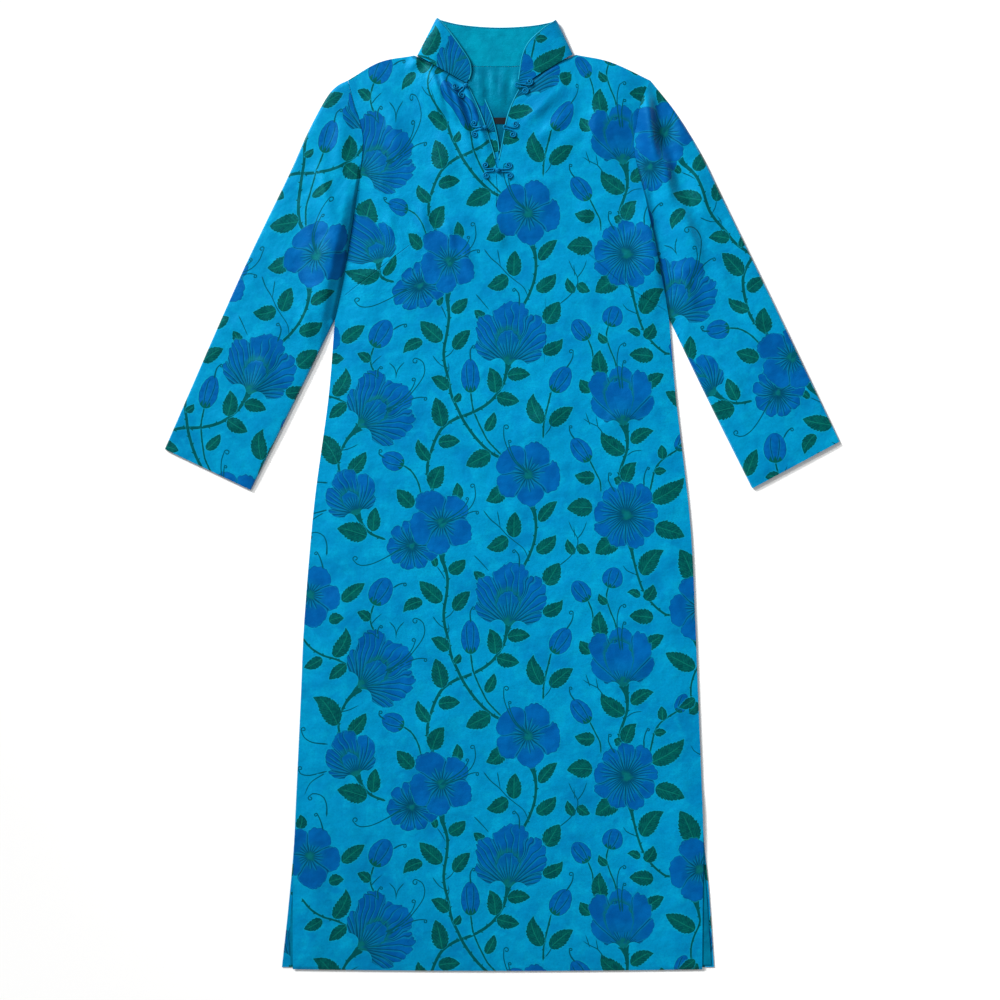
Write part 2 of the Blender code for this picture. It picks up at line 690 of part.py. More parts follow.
def neck_label():
    """A blank woven label sewn to the lining."""

    def right(share):
        return Vector((LABEL_RIGHT, LABEL_TOP - LABEL_HEIGHT * (1 - share)))

    def left(share):
        return Vector((LABEL_LEFT, LABEL_TOP - LABEL_HEIGHT * (1 - share)))

    return strip("neck_label", right, left, 1, 2, LABEL_Z, LABEL_WALL, LABEL_RIBBON)


# ================================================================ piping and frogs
def beside(line, section, distance):
    """Points at a distance from each point of a line, on the far side of it from its section's other end."""
    route = []
    for k, point in enumerate(line):
        tangent = (line[min(k + 1, len(line) - 1)] - line[max(k - 1, 0)]).normalized()
        away = point - section[k]
        away -= tangent * away.dot(tangent)
        route.append(point + away.normalized() * distance)
    return route


def collar_piping():
    """Piping round the collar's upper edge, from one front end to the other."""
    steps = COLLAR_STEPS * (len(COLLAR_ROWS) - 1)
    sections = [collar_section(k / steps) for k in range(steps + 1)]
    route = beside([edge for _, edge in sections], [seam for seam, _ in sections], PIPING_RADIUS + SEAM_GAP)
    return tube("collar_piping", route, PIPING_RADIUS, PIPING_SATIN)


def opening_piping(name, side):
    """Piping down one edge of the neck opening, which stops where the two edges close up."""
    levels = [level for level in body_levels() if level > SLIT_END + PIPING_STOP][:-1]
    line, inside = [], []
    for level in levels:
        point = inner_edge(side, True, level)
        height = front_underside(point) + WALL / 2
        line.append(Vector((point.x, point.y, height)))
        inside.append(Vector((point.x + side * UNDERLAP_WIDTH, point.y, height)))
    route = beside(line, inside, PIPING_RADIUS + SEAM_GAP)
    return tube(name, route, PIPING_RADIUS, PIPING_SATIN)


def underlap_piping():
    """Piping down the free edge of the underlap."""
    edge = vectors(UNDERLAP_EDGE)
    rows = range(UNDERLAP_PIPED_ROW, UNDERLAP_ROWS + 1)
    line = [Vector((*evenly(edge, row / UNDERLAP_ROWS), UNDERLAP_Z + THIN_WALL / 2)) for row in rows]
    inside = [point - Vector((UNDERLAP_WIDTH, 0.0, 0.0)) for point in line]
    route = beside(line, inside, PIPING_RADIUS + SEAM_GAP)
    return tube("underlap_piping", route, PIPING_RADIUS, PIPING_SATIN)


def coil(centre, start_angle, turn):
    """Plan points of a coil from its middle outwards, ending at start_angle."""
    points = []
    for k in range(COIL_POINTS + 1):
        share = k / COIL_POINTS
        angle = start_angle - turn * (1 - share) * COIL_TURNS * 2 * math.pi
        radius = COIL_INNER + (COIL_OUTER - COIL_INNER) * share
        points.append(centre + Vector((math.cos(angle), math.sin(angle))) * radius)
    return points


def frog(row):
    """Half a frog closure: a cord coiled at both ends, with a loop between that points to the opening."""
    coil_a = Vector((row.coil_a_x, row.coil_a_height))
    coil_b = Vector((row.coil_b_x, row.coil_b_height))
    tip = Vector((row.tip_x, row.tip_height))
    middle = (coil_a + coil_b) / 2
    ahead = (tip - middle).normalized()
    beside_loop = Vector((-ahead.y, ahead.x))
    if beside_loop.dot(coil_a - middle) < 0:
        beside_loop.negate()

    def wound(centre, other):
        facing = math.atan2(other.y - centre.y, other.x - centre.x)
        onward = Vector((-math.sin(facing), math.cos(facing)))
        return coil(centre, facing, 1 if onward.dot(ahead) > 0 else -1)

    eye = tip - ahead * row.eye
    wrap = math.pi - math.asin(min(1.0, LEG_SPREAD / row.eye))
    loop = [middle + ahead * LEG_START + beside_loop * LEG_SPREAD]
    for k in range(LOOP_POINTS + 1):
        angle = wrap * (1 - 2 * k / LOOP_POINTS)
        loop.append(eye + (ahead * math.cos(angle) + beside_loop * math.sin(angle)) * row.eye)
    loop.append(middle + ahead * LEG_START - beside_loop * LEG_SPREAD)
    plan = wound(coil_a, coil_b) + loop + wound(coil_b, coil_a)[::-1]
    route = [(p.x, p.y, front_top(p) + row.lift + CORD_RADIUS) for p in plan]
    return tube(row.name, route, CORD_RADIUS, CORD_SATIN)


def knot(row):
    """A ball knot, a little flattened, that buttons through a loop."""
    ball = bmesh.new()
    bmesh.ops.create_uvsphere(ball, u_segments=10, v_segments=6, radius=KNOT_RADIUS * MM)
    bmesh.ops.scale(ball, verts=ball.verts[:], vec=(1.0, 1.0, KNOT_FLATNESS))
    foot = front_top(Vector((row.x, row.height))) + row.lift
    centre = Vector((row.x, row.height, foot + KNOT_RADIUS * KNOT_FLATNESS)) * MM
    bmesh.ops.translate(ball, verts=ball.verts[:], vec=centre)
    mesh = bpy.data.meshes.new(row.name)
    ball.to_mesh(mesh)
    ball.free()
    mesh.shade_smooth()
    return finished(row.name, mesh, CORD_SATIN)


# ================================================================ the whole dress
def clear_scene():
    """Removes every object and makes the collection that holds the dress."""
    for item in list(bpy.data.objects):
        bpy.data.objects.remove(item)
    holder = bpy.data.collections.new(COLLECTION)
    bpy.context.scene.collection.children.link(holder)


def centre_on_base(pieces):
    """Moves all the pieces so that the origin is at the middle of the dress's underside."""
    graph = bpy.context.evaluated_depsgraph_get()
    points = []
    for piece in pieces:
        evaluated = piece.evaluated_get(graph)
        points += [corner.co.copy() for corner in evaluated.to_mesh().vertices]
        evaluated.to_mesh_clear()
    low = Vector(min(point[axis] for point in points) for axis in range(3))
    high = Vector(max(point[axis] for point in points) for axis in range(3))
    for piece in pieces:
        piece.location = (-(low.x + high.x) / 2, -(low.y + high.y) / 2, -low.z)


def main():
    """Builds every piece of the dress."""
    clear_scene()
    pieces = [
        body_panel("back_panel", False, BACK_COLUMNS),
        body_panel("front_panel", True, FRONT_COLUMNS),
        sleeve("sleeve_right", -1),
        sleeve("sleeve_left", 1),
        collar(),
        neck_lining(),
        neck_label(),
        underlap(),
        slit_lining("slit_lining_right", -1),
        slit_lining("slit_lining_left", 1),
        collar_piping(),
        opening_piping("opening_piping_right", -1),
        opening_piping("opening_piping_left", 1),
        underlap_piping(),
    ]
    pieces += [frog(row) for row in FROGS]
    pieces += [knot(row) for row in KNOTS]
    centre_on_base(pieces)


main()
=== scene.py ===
"""A cheongsam dress of printed satin, laid flat on its back on a pale floor.

Plan lengths are in millimetres, as the dress's pattern gives them: x runs from the middle between the cuffs
towards the wearer's left, and a height is the distance above the front hem. Meshes are in metres, in the frame.
Every piece of cloth is a thin shell on the form of its solid. Its material draws the print from the places of
blooms, leaves and stems in one repeat, which each face finds for itself in the tables below.
"""

import logging
import math
from dataclasses import dataclass, field
from enum import Enum
from typing import ClassVar, Iterable, NamedTuple, Sequence, Union

import bmesh
import bpy
import numpy as np
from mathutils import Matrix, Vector

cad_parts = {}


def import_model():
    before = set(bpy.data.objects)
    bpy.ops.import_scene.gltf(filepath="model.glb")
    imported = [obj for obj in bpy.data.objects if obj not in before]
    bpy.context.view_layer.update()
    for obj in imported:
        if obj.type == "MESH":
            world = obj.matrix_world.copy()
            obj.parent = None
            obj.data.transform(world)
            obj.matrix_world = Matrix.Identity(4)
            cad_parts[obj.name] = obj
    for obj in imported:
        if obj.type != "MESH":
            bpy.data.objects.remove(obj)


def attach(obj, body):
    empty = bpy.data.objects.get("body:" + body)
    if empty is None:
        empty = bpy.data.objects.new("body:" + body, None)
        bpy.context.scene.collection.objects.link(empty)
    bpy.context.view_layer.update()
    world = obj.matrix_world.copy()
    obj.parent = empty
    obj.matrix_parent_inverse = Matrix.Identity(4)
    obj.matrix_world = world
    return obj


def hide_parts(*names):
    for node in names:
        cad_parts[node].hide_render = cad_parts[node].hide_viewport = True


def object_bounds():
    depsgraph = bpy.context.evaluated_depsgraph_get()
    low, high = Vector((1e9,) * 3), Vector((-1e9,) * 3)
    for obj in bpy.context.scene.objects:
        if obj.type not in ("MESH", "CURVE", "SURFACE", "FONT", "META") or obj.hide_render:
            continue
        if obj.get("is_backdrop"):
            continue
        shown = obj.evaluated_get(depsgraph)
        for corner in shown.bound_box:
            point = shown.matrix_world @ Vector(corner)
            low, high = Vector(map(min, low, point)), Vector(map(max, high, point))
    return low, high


MM = 0.001
TAU = 2 * math.pi
LOG = logging.getLogger("cheongsam")

Pair = tuple[float, float]
Triple = tuple[float, float, float]
Colour = Triple
Points = np.ndarray
Socket = bpy.types.NodeSocket
Material = bpy.types.Material
Piece = bpy.types.Object
Term = Union["Signal", float]


# ---------------- rows of the tables
class EdgePoint(NamedTuple):
    """A plan point on the edge of a piece."""

    x: float
    height: float


class SideRow(NamedTuple):
    """The body's side edge at a height, for the front and for the back."""

    height: float
    front_x: float
    back_x: float


class CollarRow(NamedTuple):
    """One section of the collar, from its seam to its upper edge."""

    seam_x: float
    seam_height: float
    seam_z: float
    edge_x: float
    edge_height: float
    edge_z: float


class Fold(NamedTuple):
    """A soft ridge, or a trough where its rise is below zero, along a plan line that fades at its ends."""

    start_x: float
    start_height: float
    end_x: float
    end_height: float
    width: float
    rise: float
    right_side: float = 1.0


class StemRow(NamedTuple):
    """A stem: half its width, how much wider it gets where it starts, its layer and its points."""

    half_width: float
    flare: float
    layer: int
    points: tuple[Pair, ...]


class TwigRow(NamedTuple):
    """A bare twig: its layer and its points."""

    layer: int
    points: tuple[Pair, ...]


class TendrilRow(NamedTuple):
    """A tendril that ends in a curl: the curl's radius and side, its layer and its points."""

    curl: float
    side: int
    layer: int
    points: tuple[Pair, ...]


class WarpRow(NamedTuple):
    """A place where the print lies askew: how far it has moved there, and how far that reaches."""

    x: float
    height: float
    moved_x: float
    moved_height: float
    reach: float


class SeamAndShadeRow(NamedTuple):
    """A sewn line in plan, drawn dark, which where it is wide stands for painted shade beside the seam: half
    its width, its points, and the share of its width that it loses by its end.
    """

    half_width: float
    points: tuple[Pair, ...]
    taper: float = 0.0


def rows_of(kind: type, *rows: tuple) -> tuple:
    """Makes a table of named rows.

    Args:
        kind: The type of each row.
        rows: The values of each row, in the order of its fields.

    Returns:
        The rows.
    """
    return tuple(kind(*row) for row in rows)


# ---------------- how the layers are stacked
WALL = 1.2
THIN_WALL = 1.0
LABEL_WALL = 0.6
COLLAR_WALL = 1.8
SEAM_GAP = 0.3
SET_IN_GAP = 0.1
SET_IN_CORNER = 0.3
LINING_Z = WALL + SEAM_GAP
LABEL_Z = LINING_Z + THIN_WALL + SEAM_GAP
UNDERLAP_Z = LABEL_Z + LABEL_WALL + SEAM_GAP
NECK_FRONT_Z = UNDERLAP_Z + THIN_WALL + SEAM_GAP
SLIT_FRONT_Z = LINING_Z + THIN_WALL + SEAM_GAP
COLLAR_LOW_Z = COLLAR_WALL / 2


# ---------------- the cut, in plan
CENTRE_X = -7.0
PLAN_MIDDLE = 618.862
UNDERARM = 846.0
SHOULDER = 1157.0
SLIT_END = 1041.0
BACK_HEM = 4.8
HEM_CORNER = 2.2
SLIT_LINING_WIDTH = 22.0
SLIT_LINING_TOP = 205.0
SLIT_LINING_INSET = 3.2
UNDERLAP_WIDTH = 26.0
UNDERLAP_SLANT = 4.0
SLEEVE_EDGE_Z = 1.7
SLEEVE_ROUND = 8.0
RIGHT_SIDE = rows_of(
    SideRow,
    (0, -272.1, -286.4), (85, -272.1, -277.3), (180, -269.5, -269.5), (354, -261.7, -261.7), (456, -257, -257),
    (605, -244.3, -244.3), (742, -226.1, -226.1), (UNDERARM, -217.5, -217.5),
)
LEFT_SIDE = rows_of(
    SideRow,
    (0, 259.6, 275.2), (97, 260.3, 268.7), (185, 260.9, 260.9), (354, 254.5, 254.5), (456, 250.5, 250.5),
    (583, 244, 244), (742, 225.8, 225.8), (UNDERARM, 216.7, 216.7),
)
RIGHT_ARMHOLE = rows_of(
    EdgePoint,
    (-217.5, UNDERARM), (-204.5, 911), (-190.2, 1002), (-181.1, 1072), (-185.5, 1104), (-192.8, 1127),
    (-200.5, SHOULDER),
)
LEFT_ARMHOLE = rows_of(
    EdgePoint,
    (216.7, UNDERARM), (205, 914), (186, 1002), (171.2, 1067), (174.6, 1103), (180.5, 1130), (192, SHOULDER),
)
RIGHT_SHOULDER = rows_of(EdgePoint, (-200.5, SHOULDER), (-159, 1180.6), (-114.5, 1189.2))
LEFT_SHOULDER = rows_of(EdgePoint, (192, SHOULDER), (140, 1180.8), (95.5, 1190.2))
RIGHT_OPENING = rows_of(
    EdgePoint,
    (CENTRE_X, SLIT_END), (-11.8, 1060), (-18.6, 1082), (-26.5, 1106), (-38, 1133), (-47.2, 1152.1),
)
LEFT_OPENING = rows_of(
    EdgePoint,
    (CENTRE_X, SLIT_END), (-2.4, 1058), (2.4, 1082), (7.4, 1108), (15, 1129), (24.3, 1147),
)
UNDERLAP_EDGE = rows_of(EdgePoint, (-2.8, 1034), (-4.6, 1058), (-7.5, 1082), (-14, 1108), (-25.5, 1136))
RIGHT_SLEEVE_OUTER = rows_of(
    EdgePoint,
    (-200.5, SHOULDER), (-214.6, 1149.6), (-229, 1133), (-252.6, 1089), (-277.3, 1034), (-342.3, 898),
    (-438.5, 678),
)
RIGHT_SLEEVE_INNER = rows_of(EdgePoint, (-217.5, UNDERARM), (-271.5, 736), (-326.7, 625))
LEFT_SLEEVE_OUTER = rows_of(
    EdgePoint,
    (192, SHOULDER), (225.8, 1114), (259.6, 1059), (283, 1011), (337.6, 898), (438.5, 688),
)
LEFT_SLEEVE_INNER = rows_of(EdgePoint, (216.7, UNDERARM), (271, 734), (324.6, 627))
SLEEVE_CREST = ((0, 3.6), (0.06, 4.2), (0.2, 6.2), (0.6, 6.2), (0.95, 5), (1, 4.4))
COLLAR_ROWS = rows_of(
    CollarRow,
    (-46.2, 1153.3, 6.2, -44.4, 1158, 6.4), (-48.8, 1154.2, 6.2, -41.8, 1167.5, 6.7),
    (-55.4, 1157.8, 6.3, -43.6, 1180.2, 7.3), (-68.6, 1165.4, 6.3, -51.8, 1194, 8.2),
    (-87.8, 1176.2, 6.2, -66.6, 1214.6, 9.4), (-104, 1185.6, 6, -80.2, 1231.2, 10.2),
    (-109.8, 1188.6, 3.5, -85.2, 1236, 5.8), (-104, 1185.2, COLLAR_LOW_Z, -80.2, 1234, COLLAR_LOW_Z),
    (-74.5, 1179.6, COLLAR_LOW_Z, -60.2, 1228.9, COLLAR_LOW_Z),
    (-42, 1176.2, COLLAR_LOW_Z, -34.2, 1225.6, COLLAR_LOW_Z),
    (-7, 1175.2, COLLAR_LOW_Z, -7, 1224.2, COLLAR_LOW_Z),
    (24.3, 1176.2, COLLAR_LOW_Z, 19.1, 1224.9, COLLAR_LOW_Z),
    (58.1, 1180, COLLAR_LOW_Z, 45.1, 1227.4, COLLAR_LOW_Z),
    (85, 1188.2, COLLAR_LOW_Z, 65, 1231.4, COLLAR_LOW_Z), (90.8, 1190.2, 3.5, 70, 1233.4, 5.8),
    (85, 1186.8, 6, 65, 1229.4, 10.2), (68.7, 1177, 6.2, 52.9, 1221.5, 9.4),
    (49.2, 1165.4, 6.3, 35.2, 1205, 8.2), (35.2, 1155.6, 6.3, 27.2, 1187.6, 7.3),
    (27.6, 1150.4, 6.2, 24, 1169.6, 6.7), (24.6, 1148.4, 6.2, 22.2, 1157.6, 6.4),
)
BACK_NECK = rows_of(
    EdgePoint,
    (-114.5, 1189.2), (-104, 1184.8), (-74.5, 1178.9), (-42, 1175.5), (CENTRE_X, 1174.6), (24.3, 1175.5),
    (58.1, 1179.3), (85, 1185.6), (95.5, 1190.2),
)
RIGHT_FRONT_NECK = rows_of(EdgePoint, (-114.5, 1189.2), (-87.5, 1175.2), (-47.2, 1152.1))
LEFT_FRONT_NECK = rows_of(EdgePoint, (95.5, 1190.2), (68.5, 1176), (24.3, 1147))
ARMHOLE_FOLDS = rows_of(Fold, (178, 1052, 210, 846, 6, 8.0, 3.6), (-184, 1046, -206, 960, 7, 1.6))
FRONT_FOLDS = rows_of(
    Fold,
    (-92, 1166, -52, 1124, 8, 3.4), (-72, 1136, -38, 1092, 9, 2.2), (62, 1160, 30, 1108, 14, 1.6),
    (-168, 1150, -120, 1060, 20, 1.4), (150, 1150, 112, 1050, 22, 1.4), (-196, 880, -120, 944, 16, 1.2),
    (200, 878, 108, 940, 16, 1.2), (58, 800, 40, 640, 24, 1), (-150, 560, -40, 470, 30, 1),
    (-124, 1168, -104, 1190, 5, 4.9), (-97, 1184, -71, 1106, 5.5, 9.0, 2.4), (-82, 1174, -57, 1096, 4.5, 8.0),
    (-69, 1162, -43, 1082, 4.5, 8.5), (-54, 1164, -14, 1050, 4.5, 6.0), (-112, 1180, -96, 1120, 7, 3),
    (-56, 1104, -30, 1040, 7, 3.2, 1.6), (-84, 1096, -60, 1030, 8, 2.7, 1.8), (-62, 1066, -20, 1010, 7, 2.4),
    (-96, 1070, -58, 1000, 8, 2.4), (20, 1090, 82, 1152, 7, 3.2), (38, 1072, 98, 1124, 8, 3),
    (60, 1060, 112, 1100, 9, 2.2), (-76, 978, -60, 926, 6, 3.2), (-56, 948, -34, 896, 6, 3.2),
    (-104, 1004, -101, 948, 7, 2.7), (-148, 992, -144, 950, 8, 2.2), (-150, 1132, -128, 1040, 9, 2.4),
    (128, 1140, 112, 1048, 10, 2.4), (104, 1004, 112, 960, 9, 2.2), (20, 1040, 60, 1000, 8, 2.2),
    (-30, 990, 12, 930, 9, 1.9), (-10, 1000, 0, 930, 6, 2.2), (88, 742, 20, 690, 14, 2.2),
    (-200, 770, -120, 700, 14, 2.2), (190, 760, 120, 690, 12, 2.2), (-70, 620, 30, 580, 18, 1.9),
    (60, 520, 150, 470, 16, 1.9), (-226, 500, -160, 430, 16, 2.4), (210, 430, 130, 360, 18, 2),
    (-40, 360, -130, 290, 20, 2), (30, 300, 110, 200, 18, 2.2), (-220, 230, -170, 120, 16, 2),
    (200, 190, 170, 70, 16, 2.2), (-60, 180, -40, 60, 18, 2),
)
SLEEVE_FOLDS = rows_of(
    Fold,
    (-300, 900, -262, 820, 16, 1.4), (-232, 1080, -240, 960, 13, 2), (206, 1110, 236, 960, 13, 2.4),
    (236, 960, 262, 850, 14, 1.6),
)


# ---------------- curves and heights
class Curve:
    """A smooth curve through the points of a table, measured once in short straight runs."""

    SAMPLES = 40

    def __init__(self, points: Iterable[Sequence[float]]) -> None:
        """Takes the points in order.

        Args:
            points: Rows of coordinates, all of one length.
        """
        self.rows = np.asarray([tuple(point) for point in points], float)
        self.line = self.smooth(np.linspace(0.0, 1.0, self.SAMPLES * (len(self.rows) - 1) + 1))
        steps = np.linalg.norm(np.diff(self.line, axis=0), axis=1)
        self.reach = np.concatenate(([0.0], np.cumsum(steps)))

    def smooth(self, fraction: Points) -> Points:
        """Points on the curve, where a fraction of 0 to 1 runs evenly from row to row.

        Args:
            fraction: Places along the curve.

        Returns:
            One point for each place.
        """
        rows = self.rows
        extended = np.vstack((2 * rows[0] - rows[1], rows, 2 * rows[-1] - rows[-2]))
        place = np.clip(fraction, 0.0, 1.0) * (len(rows) - 1)
        row = np.minimum(place.astype(int), len(rows) - 2)
        t = (place - row)[..., None]
        before, here, there, after = (extended[row + k] for k in range(4))
        bend = 2 * before - 5 * here + 4 * there - after
        twist = 3 * here - before - 3 * there + after
        return 0.5 * (2 * here + (there - before) * t + bend * t**2 + twist * t**3)

    def evenly(self, share: Points) -> Points:
        """Points at these shares of the curve's length."""
        wanted = np.clip(share, 0.0, 1.0) * self.reach[-1]
        return np.stack([np.interp(wanted, self.reach, axis) for axis in self.line.T], axis=-1)

    def x_at(self, height: Points) -> Points:
        """The x at which a curve that climbs reaches these heights."""
        return np.interp(height, self.line[:, 1], self.line[:, 0])


def ramp(distance: Points, run: float) -> Points:
    """0 at no distance, 1 from run on, with a soft start and end."""
    t = np.clip(distance / run, 0.0, 1.0)
    return t * t * (3 - 2 * t)


def fold_rise(folds: Sequence[Fold], points: Points) -> Points:
    """Sum of the folds at plan points.

    Args:
        folds: The folds to add up.
        points: Plan points, x and height last.

    Returns:
        The rise at each point.
    """
    total = np.zeros(points.shape[:-1])
    for fold in folds:
        start = np.array((fold.start_x, fold.start_height))
        run = np.array((fold.end_x, fold.end_height)) - start
        away = points - start
        share = away @ run / (run @ run)
        off = (away[..., 0] * run[1] - away[..., 1] * run[0]) / np.hypot(*run)
        width = np.where(off > 0, fold.width * fold.right_side, fold.width)
        along = np.where((share >= 0) & (share <= 1), np.maximum(0.0, 1 - (2 * share - 1) ** 2), 0.0)
        total += fold.rise * along**1.5 * np.exp(-((off / width) ** 2))
    return total


class BodyPlan:
    """Where the front and the back lie in plan, and how high the front lies."""

    LOFT = 1.6
    EDGE_RUN = 34.0
    NECK_REACH = 62.0
    NECK_RUN = 62.0
    SLIT_RUN = 40.0
    FOLD_RUN = 12.0

    def __init__(self) -> None:
        """Measures every edge once."""
        self.seam = {
            (side, front): Curve((row.front_x if front else row.back_x, row.height) for row in rows)
            for side, rows in ((-1, RIGHT_SIDE), (1, LEFT_SIDE))
            for front in (True, False)
        }
        self.armhole = {-1: Curve(RIGHT_ARMHOLE), 1: Curve(LEFT_ARMHOLE)}
        self.opening = {-1: Curve(RIGHT_OPENING), 1: Curve(LEFT_OPENING)}
        self.shoulder = {-1: Curve(RIGHT_SHOULDER), 1: Curve(LEFT_SHOULDER)}
        self.front_neck = {-1: Curve(RIGHT_FRONT_NECK), 1: Curve(LEFT_FRONT_NECK)}
        self.back_neck = {
            -1: Curve([row for row in BACK_NECK if row.x <= CENTRE_X]),
            1: Curve([row for row in BACK_NECK if row.x >= CENTRE_X][::-1]),
        }
        self.back_neck_height = min(row.height for row in BACK_NECK)

    def side_x(self, side: int, front: bool, height: Points) -> Points:
        """The x of the body's edge at these heights, on its side seam or its armhole."""
        seam = self.seam[side, front].x_at(height)
        return np.where(height <= UNDERARM, seam, self.armhole[side].x_at(height))

    def inner_edge(self, side: int, front: bool, level: Points) -> Points:
        """Plan points of a panel's middle line, or of an edge of the neck opening above its foot.

        Args:
            side: -1 for the wearer's right, 1 for the left.
            front: Whether the panel is the front.
            level: Rows of the panel.

        Returns:
            A point for each row.
        """
        middle = np.full_like(level, CENTRE_X)
        if not front:
            return np.stack((middle, level * self.back_neck_height / SHOULDER), -1)
        edge = self.opening[side]
        drop = (SHOULDER - edge.rows[-1, 1]) * ramp(level - SLIT_END, SHOULDER - SLIT_END)
        above = level > SLIT_END
        height = np.where(above, level - drop, level)
        return np.stack((np.where(above, edge.x_at(height), middle), height), -1)

    def top_edge(self, side: int, front: bool, fraction: Points) -> Points:
        """Plan points of a panel's top edge.

        Args:
            side: -1 for the wearer's right, 1 for the left.
            front: Whether the panel is the front.
            fraction: 0 at the shoulder's tip, a half at the neck point and 1 in the middle.

        Returns:
            A point for each fraction.
        """
        neck = (self.front_neck if front else self.back_neck)[side]
        tip_half = self.shoulder[side].evenly(fraction * 2)
        neck_half = neck.evenly(fraction * 2 - 1)
        return np.where(fraction[:, None] <= 0.5, tip_half, neck_half)

    def points(self, side: int, front: bool, across: Points, levels: Points) -> Points:
        """Plan points of half a panel.

        Args:
            side: -1 for the wearer's right, 1 for the left.
            front: Whether the panel is the front.
            across: Columns, from the side at 0 to the middle at 1.
            levels: Rows, as heights at the side.

        Returns:
            An array of rows by columns by two.
        """
        share = across[None, :, None]
        outer = np.stack((self.side_x(side, front, levels), levels), -1)[:, None]
        inner = self.inner_edge(side, front, levels)[:, None]
        points = outer + (inner - outer) * share
        lift = ramp(levels - UNDERARM, SHOULDER - UNDERARM)[:, None, None]
        ends = self.top_edge(side, front, np.array((0.0, 1.0)))
        points = points + (self.top_edge(side, front, across) - ends[0] - (ends[1] - ends[0]) * share) * lift
        points[..., 1] += self.hem_height(front, points[..., 0]) * (1 - levels[:, None] / SHOULDER)
        return points

    def hem_height(self, front: bool, x: Points) -> Points:
        """Height of the hem, whose front corners rise a little."""
        rise = HEM_CORNER * np.minimum(np.abs(x / RIGHT_SIDE[0].front_x), 1.0) ** 2
        return rise if front else np.full_like(x, BACK_HEM)

    def inset(self, points: Points, front: bool = True) -> Points:
        """Distance of plan points from the nearer side of a panel."""
        level = np.clip(points[..., 1], 0.0, SHOULDER)
        return np.minimum(*(side * (self.side_x(side, front, level) - points[..., 0]) for side in (-1, 1)))

    def front_top(self, points: Points) -> Points:
        """Height of the front's upper face above the surface.

        Args:
            points: Plan points, x and height last.

        Returns:
            The height at each point.
        """
        inset = self.inset(points)
        height = points[..., 1]
        loose = ramp(inset, self.EDGE_RUN) * ramp(height, self.EDGE_RUN)
        loose *= ramp(SHOULDER + self.EDGE_RUN - height, self.EDGE_RUN)
        foot = np.array((CENTRE_X, SLIT_END))
        head = np.array((CENTRE_X, self.back_neck_height))
        share = np.clip((points - foot) @ (head - foot) / ((head - foot) @ (head - foot)), 0.0, 1.0)
        gap = np.linalg.norm(points - foot - share[..., None] * (head - foot), axis=-1)
        neck = 1 - ramp(gap - self.NECK_REACH, self.NECK_RUN)
        slit = 1 - ramp(inset - SLIT_LINING_WIDTH, self.SLIT_RUN)
        slit *= 1 - ramp(height - SLIT_LINING_TOP, self.SLIT_RUN)
        stack = np.maximum((NECK_FRONT_Z - LINING_Z) * neck, (SLIT_FRONT_Z - LINING_Z) * slit)
        folds = fold_rise(FRONT_FOLDS, points) * ramp(inset, self.FOLD_RUN) + fold_rise(ARMHOLE_FOLDS, points)
        return LINING_Z + WALL + stack + self.LOFT * loose * (1 - neck) + folds


# ---------------- the print's motifs, found by each face
class BloomKind(Enum):
    """How a bloom is drawn: its number of petals, how far it closes to a fan, and how far its veins reach."""

    HIBISCUS = (5, 0.0, 0.6)
    RADIAL = (9, 0.0, 1.0)
    FAN = (9, 1.0, 1.25)
    CUP = (12, 1.0, 0.3)


def turned(away: Points, degrees: float) -> tuple[Points, Points]:
    """Across and along, for offsets from a point, seen from a way turned by degrees from upright."""
    cosine, sine = math.cos(math.radians(degrees)), math.sin(math.radians(degrees))
    return away[..., 0] * cosine - away[..., 1] * sine, away[..., 0] * sine + away[..., 1] * cosine


class Motif:
    """Something drawn on the cloth, which tells each face near it where the face lies in it.

    Its reach is how far from its middle, or from its line, it can show.
    """

    middle: Sequence[float]
    reach: float

    def nearness(self, points: Points) -> Points:
        """Distance from its middle."""
        return np.linalg.norm(points - self.middle, axis=-1)

    def margin(self, cell: float) -> float:
        """Greatest nearness at which a face of this size still takes part in it."""
        return self.reach + cell


@dataclass(frozen=True)
class Bloom(Motif):
    """A bloom: the point that its petals meet in, the way it opens in degrees from upright, and its size."""

    kind: BloomKind
    x: float
    height: float
    turn: float
    size: float
    layer: int

    FAN_REACH: ClassVar[float] = 0.72
    ROUND_REACH: ClassVar[float] = 1.1

    @property
    def is_fan(self) -> bool:
        """Whether it opens to one side of the point that it grows from."""
        return self.kind in (BloomKind.FAN, BloomKind.CUP)

    @property
    def reach(self) -> float:
        """How far from its middle it can show."""
        return self.size * (self.FAN_REACH if self.is_fan else self.ROUND_REACH)

    @property
    def middle(self) -> Pair:
        """Middle of what shows of it."""
        turn, step = math.radians(self.turn), self.size * (0.5 if self.is_fan else 0.0)
        return self.x + step * math.sin(turn), self.height + step * math.cos(turn)

    def nearness(self, points: Points) -> Points:
        """Distance from its middle, as a share of its reach."""
        return super().nearness(points) / self.reach

    def margin(self, cell: float) -> float:
        """Greatest nearness, as such a share, at which a face of this size still takes part in it."""
        return super().margin(cell) / self.reach

    def place(self, points: Points) -> Points:
        """Across and along in millimetres from where its petals meet, and its size."""
        across, along = turned(points - (self.x, self.height), self.turn)
        return np.stack((across, along, np.full_like(across, self.size)), -1)

    def facts(self) -> Triple:
        """Its number of petals, how far it closes to a fan, and how far its veins reach."""
        return self.kind.value


